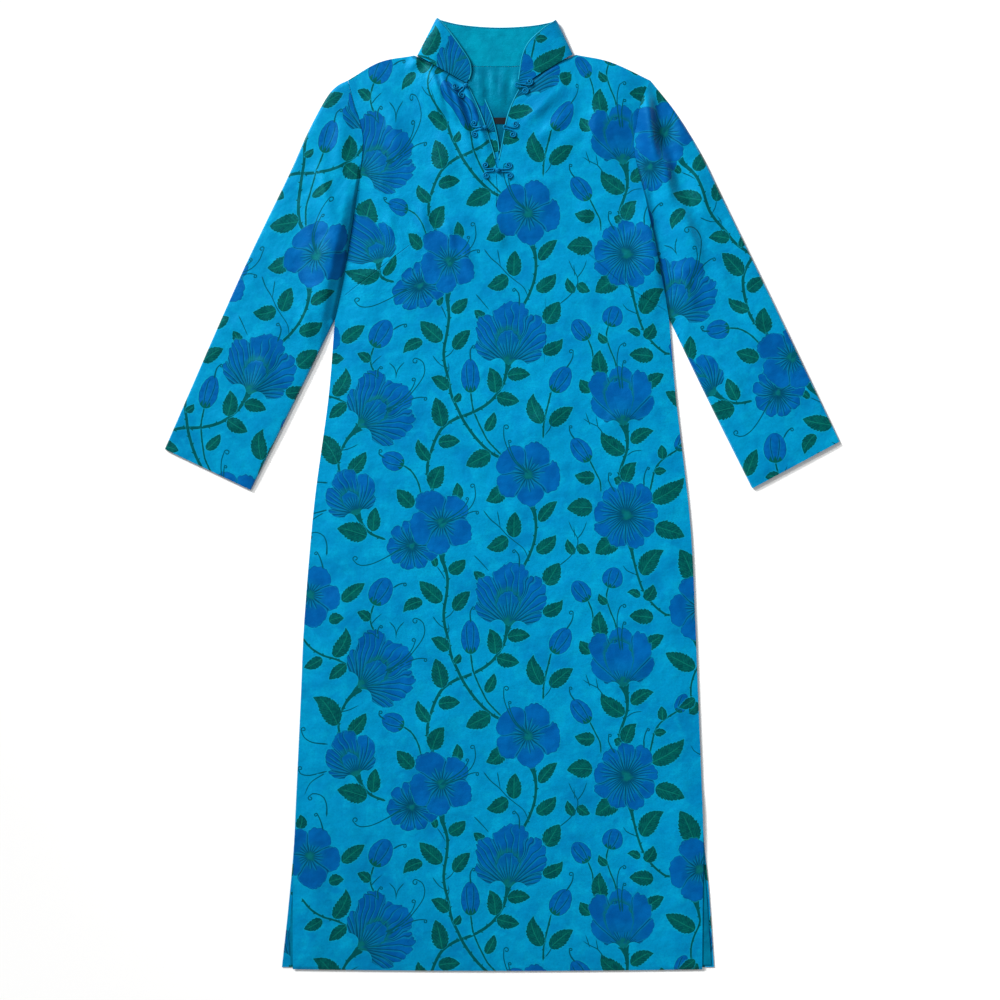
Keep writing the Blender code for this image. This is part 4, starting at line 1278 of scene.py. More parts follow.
@dataclass(frozen=True)
class PrintedSatin:
    """Cyan satin printed with royal blue blooms on dark green stems."""

    ground: Colour = srgb(0, 130, 177)
    ground_deep: Colour = srgb(0, 107, 161)
    ground_pale: Colour = srgb(2, 147, 188)
    halo: Colour = srgb(12, 147, 172)
    petal: Colour = srgb(0, 76, 143)
    petal_light: Colour = srgb(0, 88, 156)
    petal_deep: Colour = srgb(0, 69, 136)
    petal_teal: Colour = srgb(0, 88, 126)
    petal_pale: Colour = srgb(4, 112, 148)
    line: Colour = srgb(0, 60, 86)
    heart: Colour = srgb(4, 96, 94)
    leaf: Colour = srgb(0, 78, 73)
    leaf_light: Colour = srgb(13, 117, 99)
    leaf_dark: Colour = srgb(0, 57, 60)
    stem: Colour = srgb(0, 76, 78)
    twig: Colour = srgb(0, 73, 88)
    roughness: float = 0.46
    thorn_pitch: float = 11.0
    thorn_length: float = 2.4
    tooth_pitch: float = 4.4
    weave: Weave = Weave()

    def bloom(self, graph: Graph, letter: str) -> list[Paint]:
        """The blooms of one layer: petals on a rim of lobes, and on a fan one petal that folds to the front.

        Args:
            graph: The material's nodes.
            letter: The layer's letter.

        Returns:
            The paints, from the lowest up.
        """
        u, v, reach = graph.attribute(f"bloom_{letter}_place")
        lobes, fan, veins = graph.attribute(f"bloom_{letter}_facts")
        place = graph.vector(u, v, reach)
        bend, frill, tone = (graph.noise(place, scale, 1.0) - 0.5 for scale in (0.03, 0.17, 0.06))
        radius = (u * u + v * v).math("SQRT") / reach
        turn = graph.math("ARCTAN2", u, v) / TAU
        phase = turn * lobes + bend * radius * 0.8
        cell = (phase + 0.5).math("FLOOR")
        lean = phase - cell
        off = abs(lean)
        own = graph.chance(cell % lobes + reach)
        round_trip = radius * reach * TAU
        arc = round_trip / lobes.most(1.0)
        dome = (1 - off * off * 3.96).math("SQRT")
        rim = (own * 0.14 + 0.94) * (1 - (1.2 / lobes.most(1.0) + 0.06) * (1 - dome))
        rim = rim + frill * 0.07 + bend * 0.2
        rim = rim - (lean * reach / lobes.most(1.0) * 0.57 + own).strip() ** 2.0 * 0.12
        spread = graph.math("COSINE", turn * TAU).most(0.0) ** (0.85 - veins.least(0.9) * 0.4)
        cone = (radius.rise(0.06, 0.42) * 0.17 + 0.09 - abs(turn)) * round_trip + (1 - fan) * 99 + 3.5
        inside = ((rim * (1 - fan + fan * spread) - radius) * reach).least(cone)
        petal = graph.blend(tone.rise(-0.2, 0.2), self.petal, self.petal_light)
        petal = graph.blend((own - 0.4).rise(0.0, 0.5) * 0.5, petal, self.petal_deep)
        teal = radius.fall(0.1, 0.62) * (veins.rise(0.2, 0.8) * 0.5 + 0.4)
        petal = graph.blend(teal, petal, self.petal_teal)
        lip = self.lip_depth(graph, radius, turn, veins, frill) * reach * fan + (fan - 1) * 99
        between = (lean * (radius * 1.2 + 4), arc / 4.6, radius, veins)
        back = self.veined(graph, petal, between, cell * 7 + reach)
        part = (0.5 - off) * arc
        back = graph.blend(abs(part - 1.3).fall(0.1, 0.9) * radius.rise(0.15, 0.4) * 0.7, back, self.petal_pale)
        back = graph.blend(part.fall(0.15, 0.85) * radius.rise(0.05, 0.2) * 0.9, back, self.line)
        back = graph.blend(lip.rise(-9.0, 0.0) * 0.7, back, self.heart)
        between = (turn * 38, round_trip / 38, radius, veins * 0.3 + 0.24)
        front = self.veined(graph, petal, between, reach + 0.5)
        front = graph.blend(abs(lip - 1.5).fall(0.1, 0.9) * 0.6, front, self.petal_pale)
        front = graph.blend(lip.fall(0.2, 0.9) * 0.9, front, self.line)
        colour = graph.blend(lip.rise(-0.2, 0.3), back, front)
        colour = graph.blend(inside.fall(0.2, 1.0) * 0.65, colour, self.line)
        heart = (radius + frill * 0.3).fall(0.05, 0.2)
        colour = graph.blend(heart * 0.85, colour, self.heart)
        return [Paint(self.halo, inside.rise(-1.7, -0.2) * 0.5), Paint(colour, inside.rise(-0.25, 0.25))]

    def lip_depth(self, graph: Graph, radius: Signal, turn: Signal, veins: Signal, frill: Signal) -> Signal:
        """How far inside a fan's front petal a place lies, as a share of the fan's reach.

        Args:
            graph: The material's nodes.
            radius: Distance from where the petals meet, as a share of the reach.
            turn: Turns from the way in which the bloom opens.
            veins: How far the bloom's veins reach.
            frill: The unevenness of the petal's lip.

        Returns:
            The depth, below zero outside the petal.
        """
        size = 0.76 - veins.rise(0.3, 0.9) * 0.2
        width = 1.6 + size
        opened = ((turn + 0.015) * (TAU * width)).most(-math.pi / 2).least(math.pi / 2)
        return graph.math("COSINE", opened) ** 0.55 * size + frill * 0.14 - radius

    def veined(self, graph: Graph, petal: object, line: tuple[Signal, ...], seed: Signal) -> Socket:
        """A petal's colour with fine veins, each dark with a pale one beside it.

        Args:
            graph: The material's nodes.
            petal: The petal's colour.
            line: Place between the veins, room between them, radius, and how far out they reach.
            seed: A number of the petal's own.

        Returns:
            The colour.
        """
        phase, pitch, radius, length = line
        which = (phase + 0.5).math("FLOOR")
        away = (phase - which) * pitch
        end = length * (graph.chance(which + seed) * 0.45 + 0.55)
        fade = radius.fall(end * 0.85, end) * radius.rise(0.04, 0.12)
        half = 0.9 - radius / end.most(0.1) * 0.5
        pale = abs(away - 1.3).fall(0.25, 0.9) * fade * 0.75
        dark = (half - abs(away)).rise(-0.25, 0.35) * fade * 0.85
        return graph.layered(petal, [Paint(self.petal_pale, pale), Paint(self.line, dark)])

    def leaf_and_bud(self, graph: Graph, letter: str) -> list[Paint]:
        """The leaves and buds of one layer.

        Args:
            graph: The material's nodes.
            letter: The layer's letter.

        Returns:
            The paints, from the lowest up.
        """
        along, across, own = graph.attribute(f"leaf_{letter}_place")
        length, width, is_bud = graph.attribute(f"leaf_{letter}_facts")
        share = along / length
        inner = share.most(0.0).least(1.0)
        hook = (inner - 0.72).most(0.0) ** 2 * 3.2
        bow = (own - 0.5) * (inner * (1 - inner) * 0.5 - hook) * length * (1 - is_bud)
        off = across - bow
        mottle = graph.noise(graph.vector(along, across, own * 40), 0.2, 3.0) - 0.5
        grain = graph.noise(graph.vector(along, across, own * 40), 0.55, 2.0)
        full = inner**0.55 * (1 - inner) ** 0.85 * 2.78
        step = along / self.tooth_pitch + own * 5
        teeth = 0.92 + (step + mottle * 0.8) % 1.0 * 0.15
        bulge = (inner * (1 - inner)).most(0.0).math("SQRT") * (2.2 - inner * 0.4)
        side = width * 0.48 * (full * teeth * (1 - is_bud) + bulge * is_bud)
        side = side + mottle * 2.2 * inner.rise(0.0, 0.2) * inner.fall(0.85, 1.0)
        inside = (side - abs(off)).least((0.5 - abs(share - 0.5)) * length)
        green = graph.blend(mottle.rise(-0.15, 0.15) * 0.8, self.leaf, self.leaf_dark)
        rib = abs(off).fall(0.1, 0.7) * share.fall(0.7, 0.95)
        ribs = ((along - abs(off) * 1.2) / self.tooth_pitch + own * 5).strip() * self.tooth_pitch
        side_rib = ribs.fall(0.1, 0.6) * grain.rise(0.42, 0.55) * inside.rise(0.5, 1.5)
        green = graph.blend(rib.most(side_rib * 0.7) * 0.75, green, self.leaf_light)
        green = graph.blend(inside.fall(0.3, 1.0) * 0.6, green, self.leaf_dark)
        blue = graph.blend(mottle.rise(-0.2, 0.2), self.petal, self.petal_light)
        fold = abs(abs(off) - side * (0.2 + share * 0.35))
        edge = fold.fall(0.2, 0.8) * share.fall(0.75, 0.95)
        blue = graph.blend(abs(fold - 1.3).fall(0.1, 0.9) * share.fall(0.6, 0.9) * 0.5, blue, self.petal_pale)
        blue = graph.blend(edge.most(inside.fall(0.2, 0.9) * 0.8), blue, self.line)
        point = (off / width * 5.0).strip() * 0.35
        blue = graph.blend((share + point + mottle * 0.1).fall(0.2, 0.25), blue, self.leaf)
        shape = inside.rise(-0.2, 0.3)
        return [Paint(self.halo, inside.rise(-1.8, -0.2) * 0.6), Paint(graph.blend(is_bud, green, blue), shape)]

    def stem_line(self, graph: Graph, letter: str) -> list[Paint]:
        """The stems of one layer, with their thorns.

        Args:
            graph: The material's nodes.
            letter: The layer's letter.

        Returns:
            The paints, from the lowest up.
        """
        across, along, half_width = graph.attribute(f"stem_{letter}_place")
        step = along / self.thorn_pitch
        which = (step + 0.5).math("FLOOR")
        hook = 1 - (step - which) * self.thorn_pitch / self.thorn_length
        thorn_side = ((which % 2.0) - 0.5) * 2
        thorn = hook.most(0.0) * (step - which).rise(-0.001, 0.001) * half_width.rise(0.9, 1.5) * 2.2
        wobble = (graph.noise(graph.vector(along, across, 0.0), 0.16, 2.0) - 0.5) * 0.9
        side = half_width + wobble + thorn * (across * thorn_side).rise(0.0, 0.2)
        inside = side - abs(across)
        streak = graph.noise(graph.vector(along * 0.25, across * 1.4, 3.0), 0.8, 2.0)
        colour = graph.blend(streak.rise(0.4, 0.7) * 0.6, self.stem, self.leaf_dark)
        return [Paint(self.halo, inside.rise(-1.6, -0.2) * 0.35), Paint(colour, inside.rise(-0.2, 0.3))]

    def thin_line(self, graph: Graph, letter: str) -> list[Paint]:
        """The twigs and tendrils of one layer."""
        across, _, half_width = graph.attribute(f"thin_{letter}_place")
        return [Paint(self.twig, (half_width - abs(across)).rise(-0.2, 0.25))]

    def curl_line(self, graph: Graph) -> list[Paint]:
        """The curls at the tendrils' ends.

        Args:
            graph: The material's nodes.

        Returns:
            The one paint.
        """
        outward, onward, radius = graph.attribute("curl_place")
        turn = graph.math("ARCTAN2", onward, outward) / TAU % 1.0
        wound = radius * (1 - turn * 0.55)
        off = abs((outward * outward + onward * onward).math("SQRT") - wound)
        return [Paint(self.twig, off.fall(0.45, 0.95) * turn.fall(0.93, 0.97))]

    def colour(self, graph: Graph, place: Socket) -> Socket:
        """The whole print: a washed ground, and the motifs laid over it from the lowest up.

        Args:
            graph: The material's nodes.
            place: The place in the print.

        Returns:
            The colour.
        """
        wash = graph.noise(place, 0.014, 4.0, 0.62)
        blot = graph.noise(place, 0.045, 3.0, 0.55)
        ground = graph.blend(wash.rise(0.47, 0.68) * 0.75, self.ground, self.ground_deep)
        ground = graph.blend((wash * 0.3 + blot * 0.7).fall(0.36, 0.52) * 0.65, ground, self.ground_pale)
        ground = graph.blend(graph.noise(place, 0.42, 3.0, 0.6).rise(0.42, 0.7) * 0.4, ground, self.ground_deep)
        paints: list[Paint] = []
        for draw in (self.stem_line, self.leaf_and_bud, self.bloom, self.thin_line):
            for letter in "ba":
                paints += draw(graph, letter)
        return graph.layered(ground, paints + self.curl_line(graph))

    def material(self) -> Material:
        """The material of everything that is printed.

        Returns:
            The material.
        """
        graph = Graph("printed_satin")
        place = graph.node("ShaderNodeAttribute", {"attribute_name": "print_place"}).outputs["Vector"]
        colour = self.colour(graph, place)
        # Painted shade: the seam layer darkens the print along each line, more where the line is wider, so
        # narrow darts read as seams and the wide lines at the neck and the set-in seams as shade.
        across, _, half_width = graph.attribute("seam_place")
        seam = (abs(across) / half_width.most(0.01)).fall(0.2, 1.0) * half_width.rise(0.0, 0.3)
        colour = graph.shade(colour, 1 - seam * half_width.most(0.0).least(4.0) * 0.16)
        pucker = graph.bump(graph.noise(place, 0.042, 3.0, 0.45), 0.0024)
        dip = graph.bump(1 - seam, 0.0006, pucker)
        normal = self.weave.normal(graph, place, dip)
        sheen = graph.noise(place, 0.03, 2.0)
        roughness = sheen * 0.1 + self.roughness - 0.05
        return graph.finish(colour, roughness, normal, Specular_IOR_Level=0.3, **SATIN)


@dataclass(frozen=True)
class PlainSatin:
    """Satin of one colour, as the linings are."""

    name: str
    colour: Colour
    shadow: Colour
    roughness: float
    # Height below which shade is painted into the colour; none where it is 0.
    painted_shade_below: float = 0.0
    weave: Weave = Weave()

    # The colour of the painted shade, and the run over which it fades in about its height.
    PAINTED_SHADE: ClassVar[Colour] = srgb(0, 70, 98)
    SHADE_FADE: ClassVar[Pair] = (-20.0, 22.0)

    def material(self) -> Material:
        """The material, woven in Object coordinates, with painted shade below a height where it has one.

        Returns:
            The material.
        """
        graph = Graph(self.name)
        values = {"Vector": graph.object_place(), "Scale": (1 / MM,) * 3}
        place = graph.node("ShaderNodeMapping", values=values).outputs[0]
        tone = graph.noise(place, 0.05, 3.0)
        colour = graph.blend(tone.rise(0.3, 0.75), self.colour, self.shadow)
        # Painted shade: below the given height the colour darkens towards a deep blue, where the front's edges
        # shade the facing.
        if self.painted_shade_below:
            _, height, _ = graph.parts(place)
            low, high = (self.painted_shade_below - PLAN_MIDDLE + fade for fade in self.SHADE_FADE)
            colour = graph.blend(height.fall(low, high) * 0.8, colour, self.PAINTED_SHADE)
        normal = self.weave.normal(graph, place, graph.bump(graph.noise(place, 0.07, 3.0), 0.0014))
        roughness = tone * 0.12 + self.roughness - 0.06
        return graph.finish(colour, roughness, normal, Specular_IOR_Level=0.35, **SATIN)


@dataclass(frozen=True)
class TwistedCord:
    """Bias cord covered in satin, with the fine twist of its cover."""

    name: str
    colour: Colour
    shadow: Colour
    roughness: float
    twist: float
    strands: float
    relief: float

    def material(self) -> Material:
        """The material, which follows the cord by its own attribute.

        Returns:
            The material.
        """
        graph = Graph(self.name)
        around, along, _ = graph.attribute("cord_place")
        ridge = ((around * self.strands + along / self.twist) * TAU).math("SINE") * 0.5 + 0.5
        tone = graph.noise(graph.vector(around * 2, along * 0.5, 0.0), 1.0, 2.0)
        colour = graph.blend((1 - ridge) * 0.5 + tone * 0.2, self.colour, self.shadow)
        gloss = {"Specular_IOR_Level": 0.35, "Specular_Tint": GLOSS_TINT}
        return graph.finish(colour, ridge * 0.1 + self.roughness, graph.bump(ridge, self.relief), **gloss)


@dataclass(frozen=True)
class LabelRibbon:
    """A black woven ribbon with nothing on it."""

    colour: Colour = (0.004, 0.006, 0.009)
    thread: Colour = (0.012, 0.016, 0.02)
    roughness: float = 0.6
    rib: float = 0.0005
    pick: float = 0.0004
    relief: float = 0.00008

    def material(self) -> Material:
        """The material, ribbed across its length.

        Returns:
            The material.
        """
        graph = Graph("label_ribbon")
        x, y, _ = graph.parts(graph.object_place())
        ribs = (x * (TAU / self.rib)).math("SINE") * 0.5 + 0.5
        picks = (y * (TAU / self.pick)).math("SINE") * 0.5 + 0.5
        colour = graph.blend(ribs * picks, self.colour, self.thread)
        normal = graph.bump(ribs, self.relief)
        return graph.finish(colour, picks * 0.1 + self.roughness, normal, Specular_IOR_Level=0.12)


@dataclass(frozen=True)
class StudioPaper:
    """The pale paper that the dress lies on."""

    colour: Colour = (0.96, 0.96, 0.955)
    roughness: float = 0.85

    def material(self) -> Material:
        """The material, with the faintest mottle.

        Returns:
            The material.
        """
        graph = Graph("studio_paper")
        grain = graph.noise(graph.object_place(), 6.0, 3.0)
        colour = graph.blend(grain * 0.3, self.colour, tuple(part * 0.985 for part in self.colour))
        return graph.finish(colour, self.roughness, Specular_IOR_Level=0.2)


# ---------------- making meshes
def cells(grid: Points) -> Points:
    """The four corner values of each cell of a grid, in order round the cell."""
    corners = (grid[:-1, :-1], grid[:-1, 1:], grid[1:, 1:], grid[1:, :-1])
    return np.stack(corners, axis=2).reshape(-1, 4, grid.shape[-1])


def only(piece: Piece) -> None:
    """Selects one object and makes it active.

    Args:
        piece: The object.
    """
    bpy.ops.object.select_all(action="DESELECT")
    piece.select_set(True)
    bpy.context.view_layer.objects.active = piece


def smooth(piece: Piece, degrees: float) -> None:
    """Shades an object smooth, apart from edges sharper than an angle."""
    only(piece)
    bpy.ops.object.shade_smooth_by_angle(angle=math.radians(degrees))


@dataclass
class Sheet:
    """Cloth or a swept cord: its grids in millimetres, and what the corners of its faces carry."""

    name: str
    grids: list[Points]
    corner_values: dict[str, Points] = field(default_factory=dict)

    MERGE: ClassVar[float] = 0.00001

    @property
    def area(self) -> float:
        """How much cloth the sheet has.

        Returns:
            Its area in square metres.
        """
        corners = np.concatenate([cells(grid) for grid in self.grids]) * MM
        spans = np.cross(corners[:, 2] - corners[:, 0], corners[:, 3] - corners[:, 1])
        return float(np.linalg.norm(spans, axis=1).sum() / 2)

    def laid_out(self, origin: Vector, slots: Sequence[Material], closed: bool = False) -> Piece:
        """Makes the sheet an object without a wall.

        Args:
            origin: Where the plan's own origin lies in the frame, in metres.
            slots: Its materials.
            closed: Whether its open ends are filled, as a cord's are.

        Returns:
            The object.
        """
        faces, start = [], 0
        for grid in self.grids:
            rows, columns = grid.shape[:2]
            index = np.arange(start, start + rows * columns).reshape(rows, columns, 1)
            faces.append(cells(index).reshape(-1, 4))
            start += rows * columns
        placed = np.concatenate([grid.reshape(-1, 3) for grid in self.grids]) * MM + np.array(origin)
        mesh = bpy.data.meshes.new(self.name)
        mesh.from_pydata(placed.tolist(), [], np.concatenate(faces).tolist())
        for name, values in self.corner_values.items():
            made = mesh.attributes.new(name, "FLOAT_VECTOR", "CORNER")
            made.data.foreach_set("vector", np.ascontiguousarray(values, np.float32).ravel())
        welded = bmesh.new()
        welded.from_mesh(mesh)
        bmesh.ops.remove_doubles(welded, verts=welded.verts[:], dist=self.MERGE)
        if closed:
            bmesh.ops.holes_fill(welded, edges=[edge for edge in welded.edges if edge.is_boundary])
            bmesh.ops.recalc_face_normals(welded, faces=welded.faces[:])
        welded.to_mesh(mesh)
        welded.free()
        for material in slots:
            mesh.materials.append(material)
        piece = bpy.data.objects.new(self.name, mesh)
        bpy.context.scene.collection.objects.link(piece)
        return piece

    def build(self, origin: Vector, slots: Sequence[Material], wall: float, offset: float = -1.0) -> Piece:
        """Makes the sheet an object with a wall.

        Args:
            origin: Where the plan's own origin lies in the frame, in metres.
            slots: The material of the side that its normals point to, and that of the other side.
            wall: The wall's thickness in millimetres.
            offset: Where the wall lies: -1 behind the sheet, 0 on both sides of it.

        Returns:
            The object.
        """
        piece = self.laid_out(origin, slots)
        shell = piece.modifiers.new("wall", "SOLIDIFY")
        shell.thickness = wall * MM
        shell.offset = offset
        shell.material_offset = len(slots) - 1
        only(piece)
        bpy.ops.object.modifier_apply(modifier=shell.name)
        smooth(piece, 50)
        return piece


@dataclass
class Tube:
    """A round cord or piping along a route, with rounded ends, in millimetres."""

    name: str
    route: Points
    radius: float
    sides: int = 12
    step: float = 0.7

    CAP: ClassVar[tuple] = ((0.97, 0.26), (0.78, 0.62), (0.42, 0.9))

    def build(self, origin: Vector, material: Material) -> Piece:
        """Makes the tube an object.

        Args:
            origin: Where the plan's own origin lies in the frame, in metres.
            material: Its material, which reads how far round and along the cord each corner lies.

        Returns:
            The object.
        """
        curve = Curve(self.route)
        length = float(curve.reach[-1])
        line = curve.evenly(np.linspace(0.0, 1.0, max(6, int(length / self.step))))
        tangents = np.gradient(line, axis=0)
        tangents /= np.linalg.norm(tangents, axis=1)[:, None]
        reach = np.linspace(0.0, length, len(line))
        side = np.cross(tangents[0], (0.0, 0.0, 1.0))
        rings, places = [], []
        round_angles = np.linspace(0.0, TAU, self.sides + 1)
        for k, (point, tangent) in enumerate(zip(line, tangents)):
            side = side - tangent * (side @ tangent)
            side /= np.linalg.norm(side)
            up = np.cross(side, tangent)
            ring = np.cos(round_angles)[:, None] * side + np.sin(round_angles)[:, None] * up
            here = [(1.0, 0.0)]
            if k == 0:
                here = [(size, -out) for size, out in self.CAP[::-1]] + here
            elif k == len(line) - 1:
                here += self.CAP
            for size, out in here:
                centre = point + tangent * out * self.radius
                rings.append(centre + ring * self.radius * size)
                along = np.full_like(round_angles, reach[k] + out * self.radius)
                places.append(np.stack((round_angles / TAU, along, along * 0), -1))
        sheet = Sheet(self.name, [np.array(rings)], {"cord_place": cells(np.array(places))})
        piece = sheet.laid_out(origin, (material,), closed=True)
        smooth(piece, 70)
        return piece


# ---------------- the workshop
@dataclass
class Workshop:
    """What every sub-assembly needs: the place of the plan, the body's plan, the print and the finishes."""

    origin: Vector
    body: BodyPlan
    motifs: Print
    printed: Material
    lining: Material
    # The facing and the slit strips are darker copies of the lining satin, with shade painted in.
    facing: Material
    slit_shaded_lining: Material
    piping: Material
    cord: Material
    label: Material

    def seams_and_shade(self, rows: Sequence[SeamAndShadeRow]) -> Layer:
        """A layer of sewn lines in plan, whose wide ones are painted shade beside the seams."""
        strokes = [Stroke(row.points, row.half_width, taper=row.taper) for row in rows]
        return Layer("seam", strokes, (Print.FAR, 0.0, -1.0), repeats=False)

    def hand_over(self, piece: Piece, slot: str, *nodes: str) -> None:
        """Puts a finished piece in the place of its solid.

        Args:
            piece: The finished piece.
            slot: The name of its finish; not used.
            nodes: The solids that it stands for.
        """
        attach(piece, "root")
        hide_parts(*nodes)
        LOG.info("%s: %d faces", piece.name, len(piece.data.polygons))


# ---------------- front and back
# Darts and the centre front seam are dark seam lines; the two wide lines along the neck seams are painted shade
# below the collar.
SEAMS_AND_SHADE = rows_of(
    SeamAndShadeRow,
    (0.8, ((105, 938), (132, 914), (160, 890), (212, 858))), (0.8, ((-121, 942), (-160, 912), (-204, 878))),
    (1.2, ((-7, 1033), (-6, 1012), (-7, 994))), (0.5, ((56, 872), (57, 830), (55, 792))),
    (3.6, ((-116, 1188), (-87.5, 1174.6), (-46, 1151))), (2.4, ((97, 1189), (68.5, 1175.4), (24, 1146))),
)
BACK_SEAMS = rows_of(SeamAndShadeRow, (0.9, ((CENTRE_X, 20), (CENTRE_X, 1160))))
FRONT_WARPS = rows_of(
    WarpRow,
    (-74, 1152, -32, 22, 34), (62, 1156, 26, 18, 32), (-165, 943, 36, -16, 46), (-146, 1054, 0, -18, 60),
    (-85, 905, 13, 0, 42), (-165, 826, 0, -5, 60),
)
BACK_FOLDS = rows_of(
    Fold,
    (-150, 1000, -90, 880, 14, 1.5), (140, 1020, 90, 900, 14, 1.4), (-60, 900, 40, 800, 16, 1.6),
    (120, 760, 30, 660, 18, 1.5), (-170, 700, -80, 590, 18, 1.6), (60, 540, 150, 420, 20, 1.5),
    (-140, 430, -40, 330, 20, 1.6), (20, 330, 110, 200, 20, 1.5), (-180, 250, -120, 110, 18, 1.5),
)


@dataclass
class Body:
    """The front and the back."""

    shop: Workshop
    columns: int = 62
    back_columns: int = 50
    hem_turn: float = 4.6
    lip_z: float = 2.2
    turning: float = 18.0
    front_cut: Pair = (0.545, 1.195)
    back_cut: Pair = (0.565, 1.195)
    back_print: Pair = (80.0, 365.0)
    back_run: float = 34.0

    def levels(self, front: bool) -> Points:
        """Rows of a panel, close together over the turn of the hem.

        Args:
            front: Whether the panel is the front.

        Returns:
            Heights at the side.
        """
        hem = np.linspace(0.0, 12.0, 8)
        skirt = np.linspace(12.0, SLIT_END, 238 if front else 190)[1:]
        neck = np.linspace(SLIT_END, SHOULDER, 30 if front else 24)[1:]
        return np.concatenate((hem, skirt, neck))

    def halves(self, front: bool) -> list[Points]:
        """Plan points of the two halves, both with columns that run towards the wearer's left.

        Args:
            front: Whether the panel is the front.

        Returns:
            The right half and the left.
        """
        across = np.linspace(0.0, 1.0, (self.columns if front else self.back_columns) + 1)
        right, left = (self.shop.body.points(side, front, across, self.levels(front)) for side in (-1, 1))
        return [right, left[:, ::-1]]

    def front_place(self, plan: Points) -> Points:
        """Print points of the front, where the print lies askew near the bust.

        Args:
            plan: Plan points.

        Returns:
            A print point for each.
        """
        place = plan.copy()
        for warp in FRONT_WARPS:
            gap = np.hypot(plan[..., 0] - warp.x, plan[..., 1] - warp.height) / warp.reach
            place -= np.exp(-(gap**2))[..., None] * (warp.moved_x, warp.moved_height)
        return place

    def build_front(self) -> None:
        """The front, with its darts, its creases and the turn of its hem."""
        grids, plans = [], self.halves(True)
        for plan in plans:
            top = self.shop.body.front_top(plan)
            hem = plan[..., 1] - self.shop.body.hem_height(True, plan[..., 0])
            top = self.lip_z + (top - self.lip_z) * ramp(hem + 0.6, self.hem_turn)
            grids.append(np.dstack((plan, top)))
        sheet = Sheet("front", grids)
        laid = np.concatenate([cells(plan) for plan in plans])
        self.shop.motifs.write(sheet, np.concatenate([cells(self.front_place(plan)) for plan in plans]))
        self.shop.seams_and_shade(SEAMS_AND_SHADE).write(sheet, laid)
        piece = sheet.build(self.shop.origin, (self.shop.printed, self.shop.lining), WALL)
        self.shop.hand_over(piece, "printed_satin", "front_panel")
        sheet.area

    def build_back(self) -> None:
        """The back, whose printed side lies down, with a printed turning round its edge."""
        grids, plans = [], self.halves(False)
        for plan in plans:
            edge = np.minimum(self.shop.body.inset(plan), plan[..., 1])
            under = fold_rise(BACK_FOLDS, plan) * ramp(edge, self.back_run)
            grids.append(np.dstack((plan, under))[:, ::-1])
        sheet = Sheet("back", grids)
        laid = np.concatenate([cells(plan[:, ::-1]) for plan in plans])
        from_seam = -np.abs(laid[..., 0] - CENTRE_X)
        mirrored = np.stack((from_seam, laid[..., 1]), -1) + self.back_print
        self.shop.motifs.write(sheet, mirrored)
        self.shop.seams_and_shade(BACK_SEAMS).write(sheet, laid)
        piece = sheet.build(self.shop.origin, (self.shop.printed, self.shop.lining), WALL)
        self.turn_edges(piece)
        self.shop.hand_over(piece, "printed_satin", "back_panel")
        sheet.area

    def turn_edges(self, piece: Piece) -> None:
        """Gives the back's upper side its print back where the cloth turns in round the edge.

        Args:
            piece: The back.
        """
        for face in piece.data.polygons:
            if face.material_index == 1:
                place = np.array((face.center - self.shop.origin) / MM)
                if self.shop.body.inset(place, False) < self.turning or place[1] < BACK_HEM + self.turning:
                    face.material_index = 0


# ---------------- sleeves
RIGHT_CREASES = rows_of(
    Fold,
    (-196, 1050, -242, 812, 11, 11.0, 2.2), (-206, 1120, -216, 1010, 9, 3.2), (-238, 1050, -220, 966, 8, 3.6),
    (-262, 1010, -240, 900, 9, 3.2), (-300, 940, -250, 860, 9, 3.0), (-350, 850, -290, 790, 9, 2.6),
    (-330, 800, -280, 760, 8, 2.4), (-380, 730, -330, 690, 9, 2.2), (-262, 880, -246, 800, 8, 3.0),
    (-300, 820, -330, 720, 10, 2.2),
)
LEFT_CREASES = rows_of(
    Fold,
    (183, 1172, 201, 1020, 8, 14.0, 1.6), (201, 1164, 218, 1030, 16, -6.0, 0.55),
    (230, 1150, 232, 1034, 9, 3.0), (204, 1084, 220, 980, 8, 10.0, 1.8), (220, 1080, 237, 980, 17, -4.0, 0.5),
    (218, 1020, 262, 906, 10, 9.0, 1.8), (246, 1060, 268, 960, 10, 3.2), (228, 930, 250, 850, 9, 4.0),
    (262, 940, 310, 860, 10, 3.2), (300, 880, 350, 800, 10, 2.8), (330, 760, 380, 700, 10, 2.4),
    (290, 800, 320, 700, 10, 2.2),
)


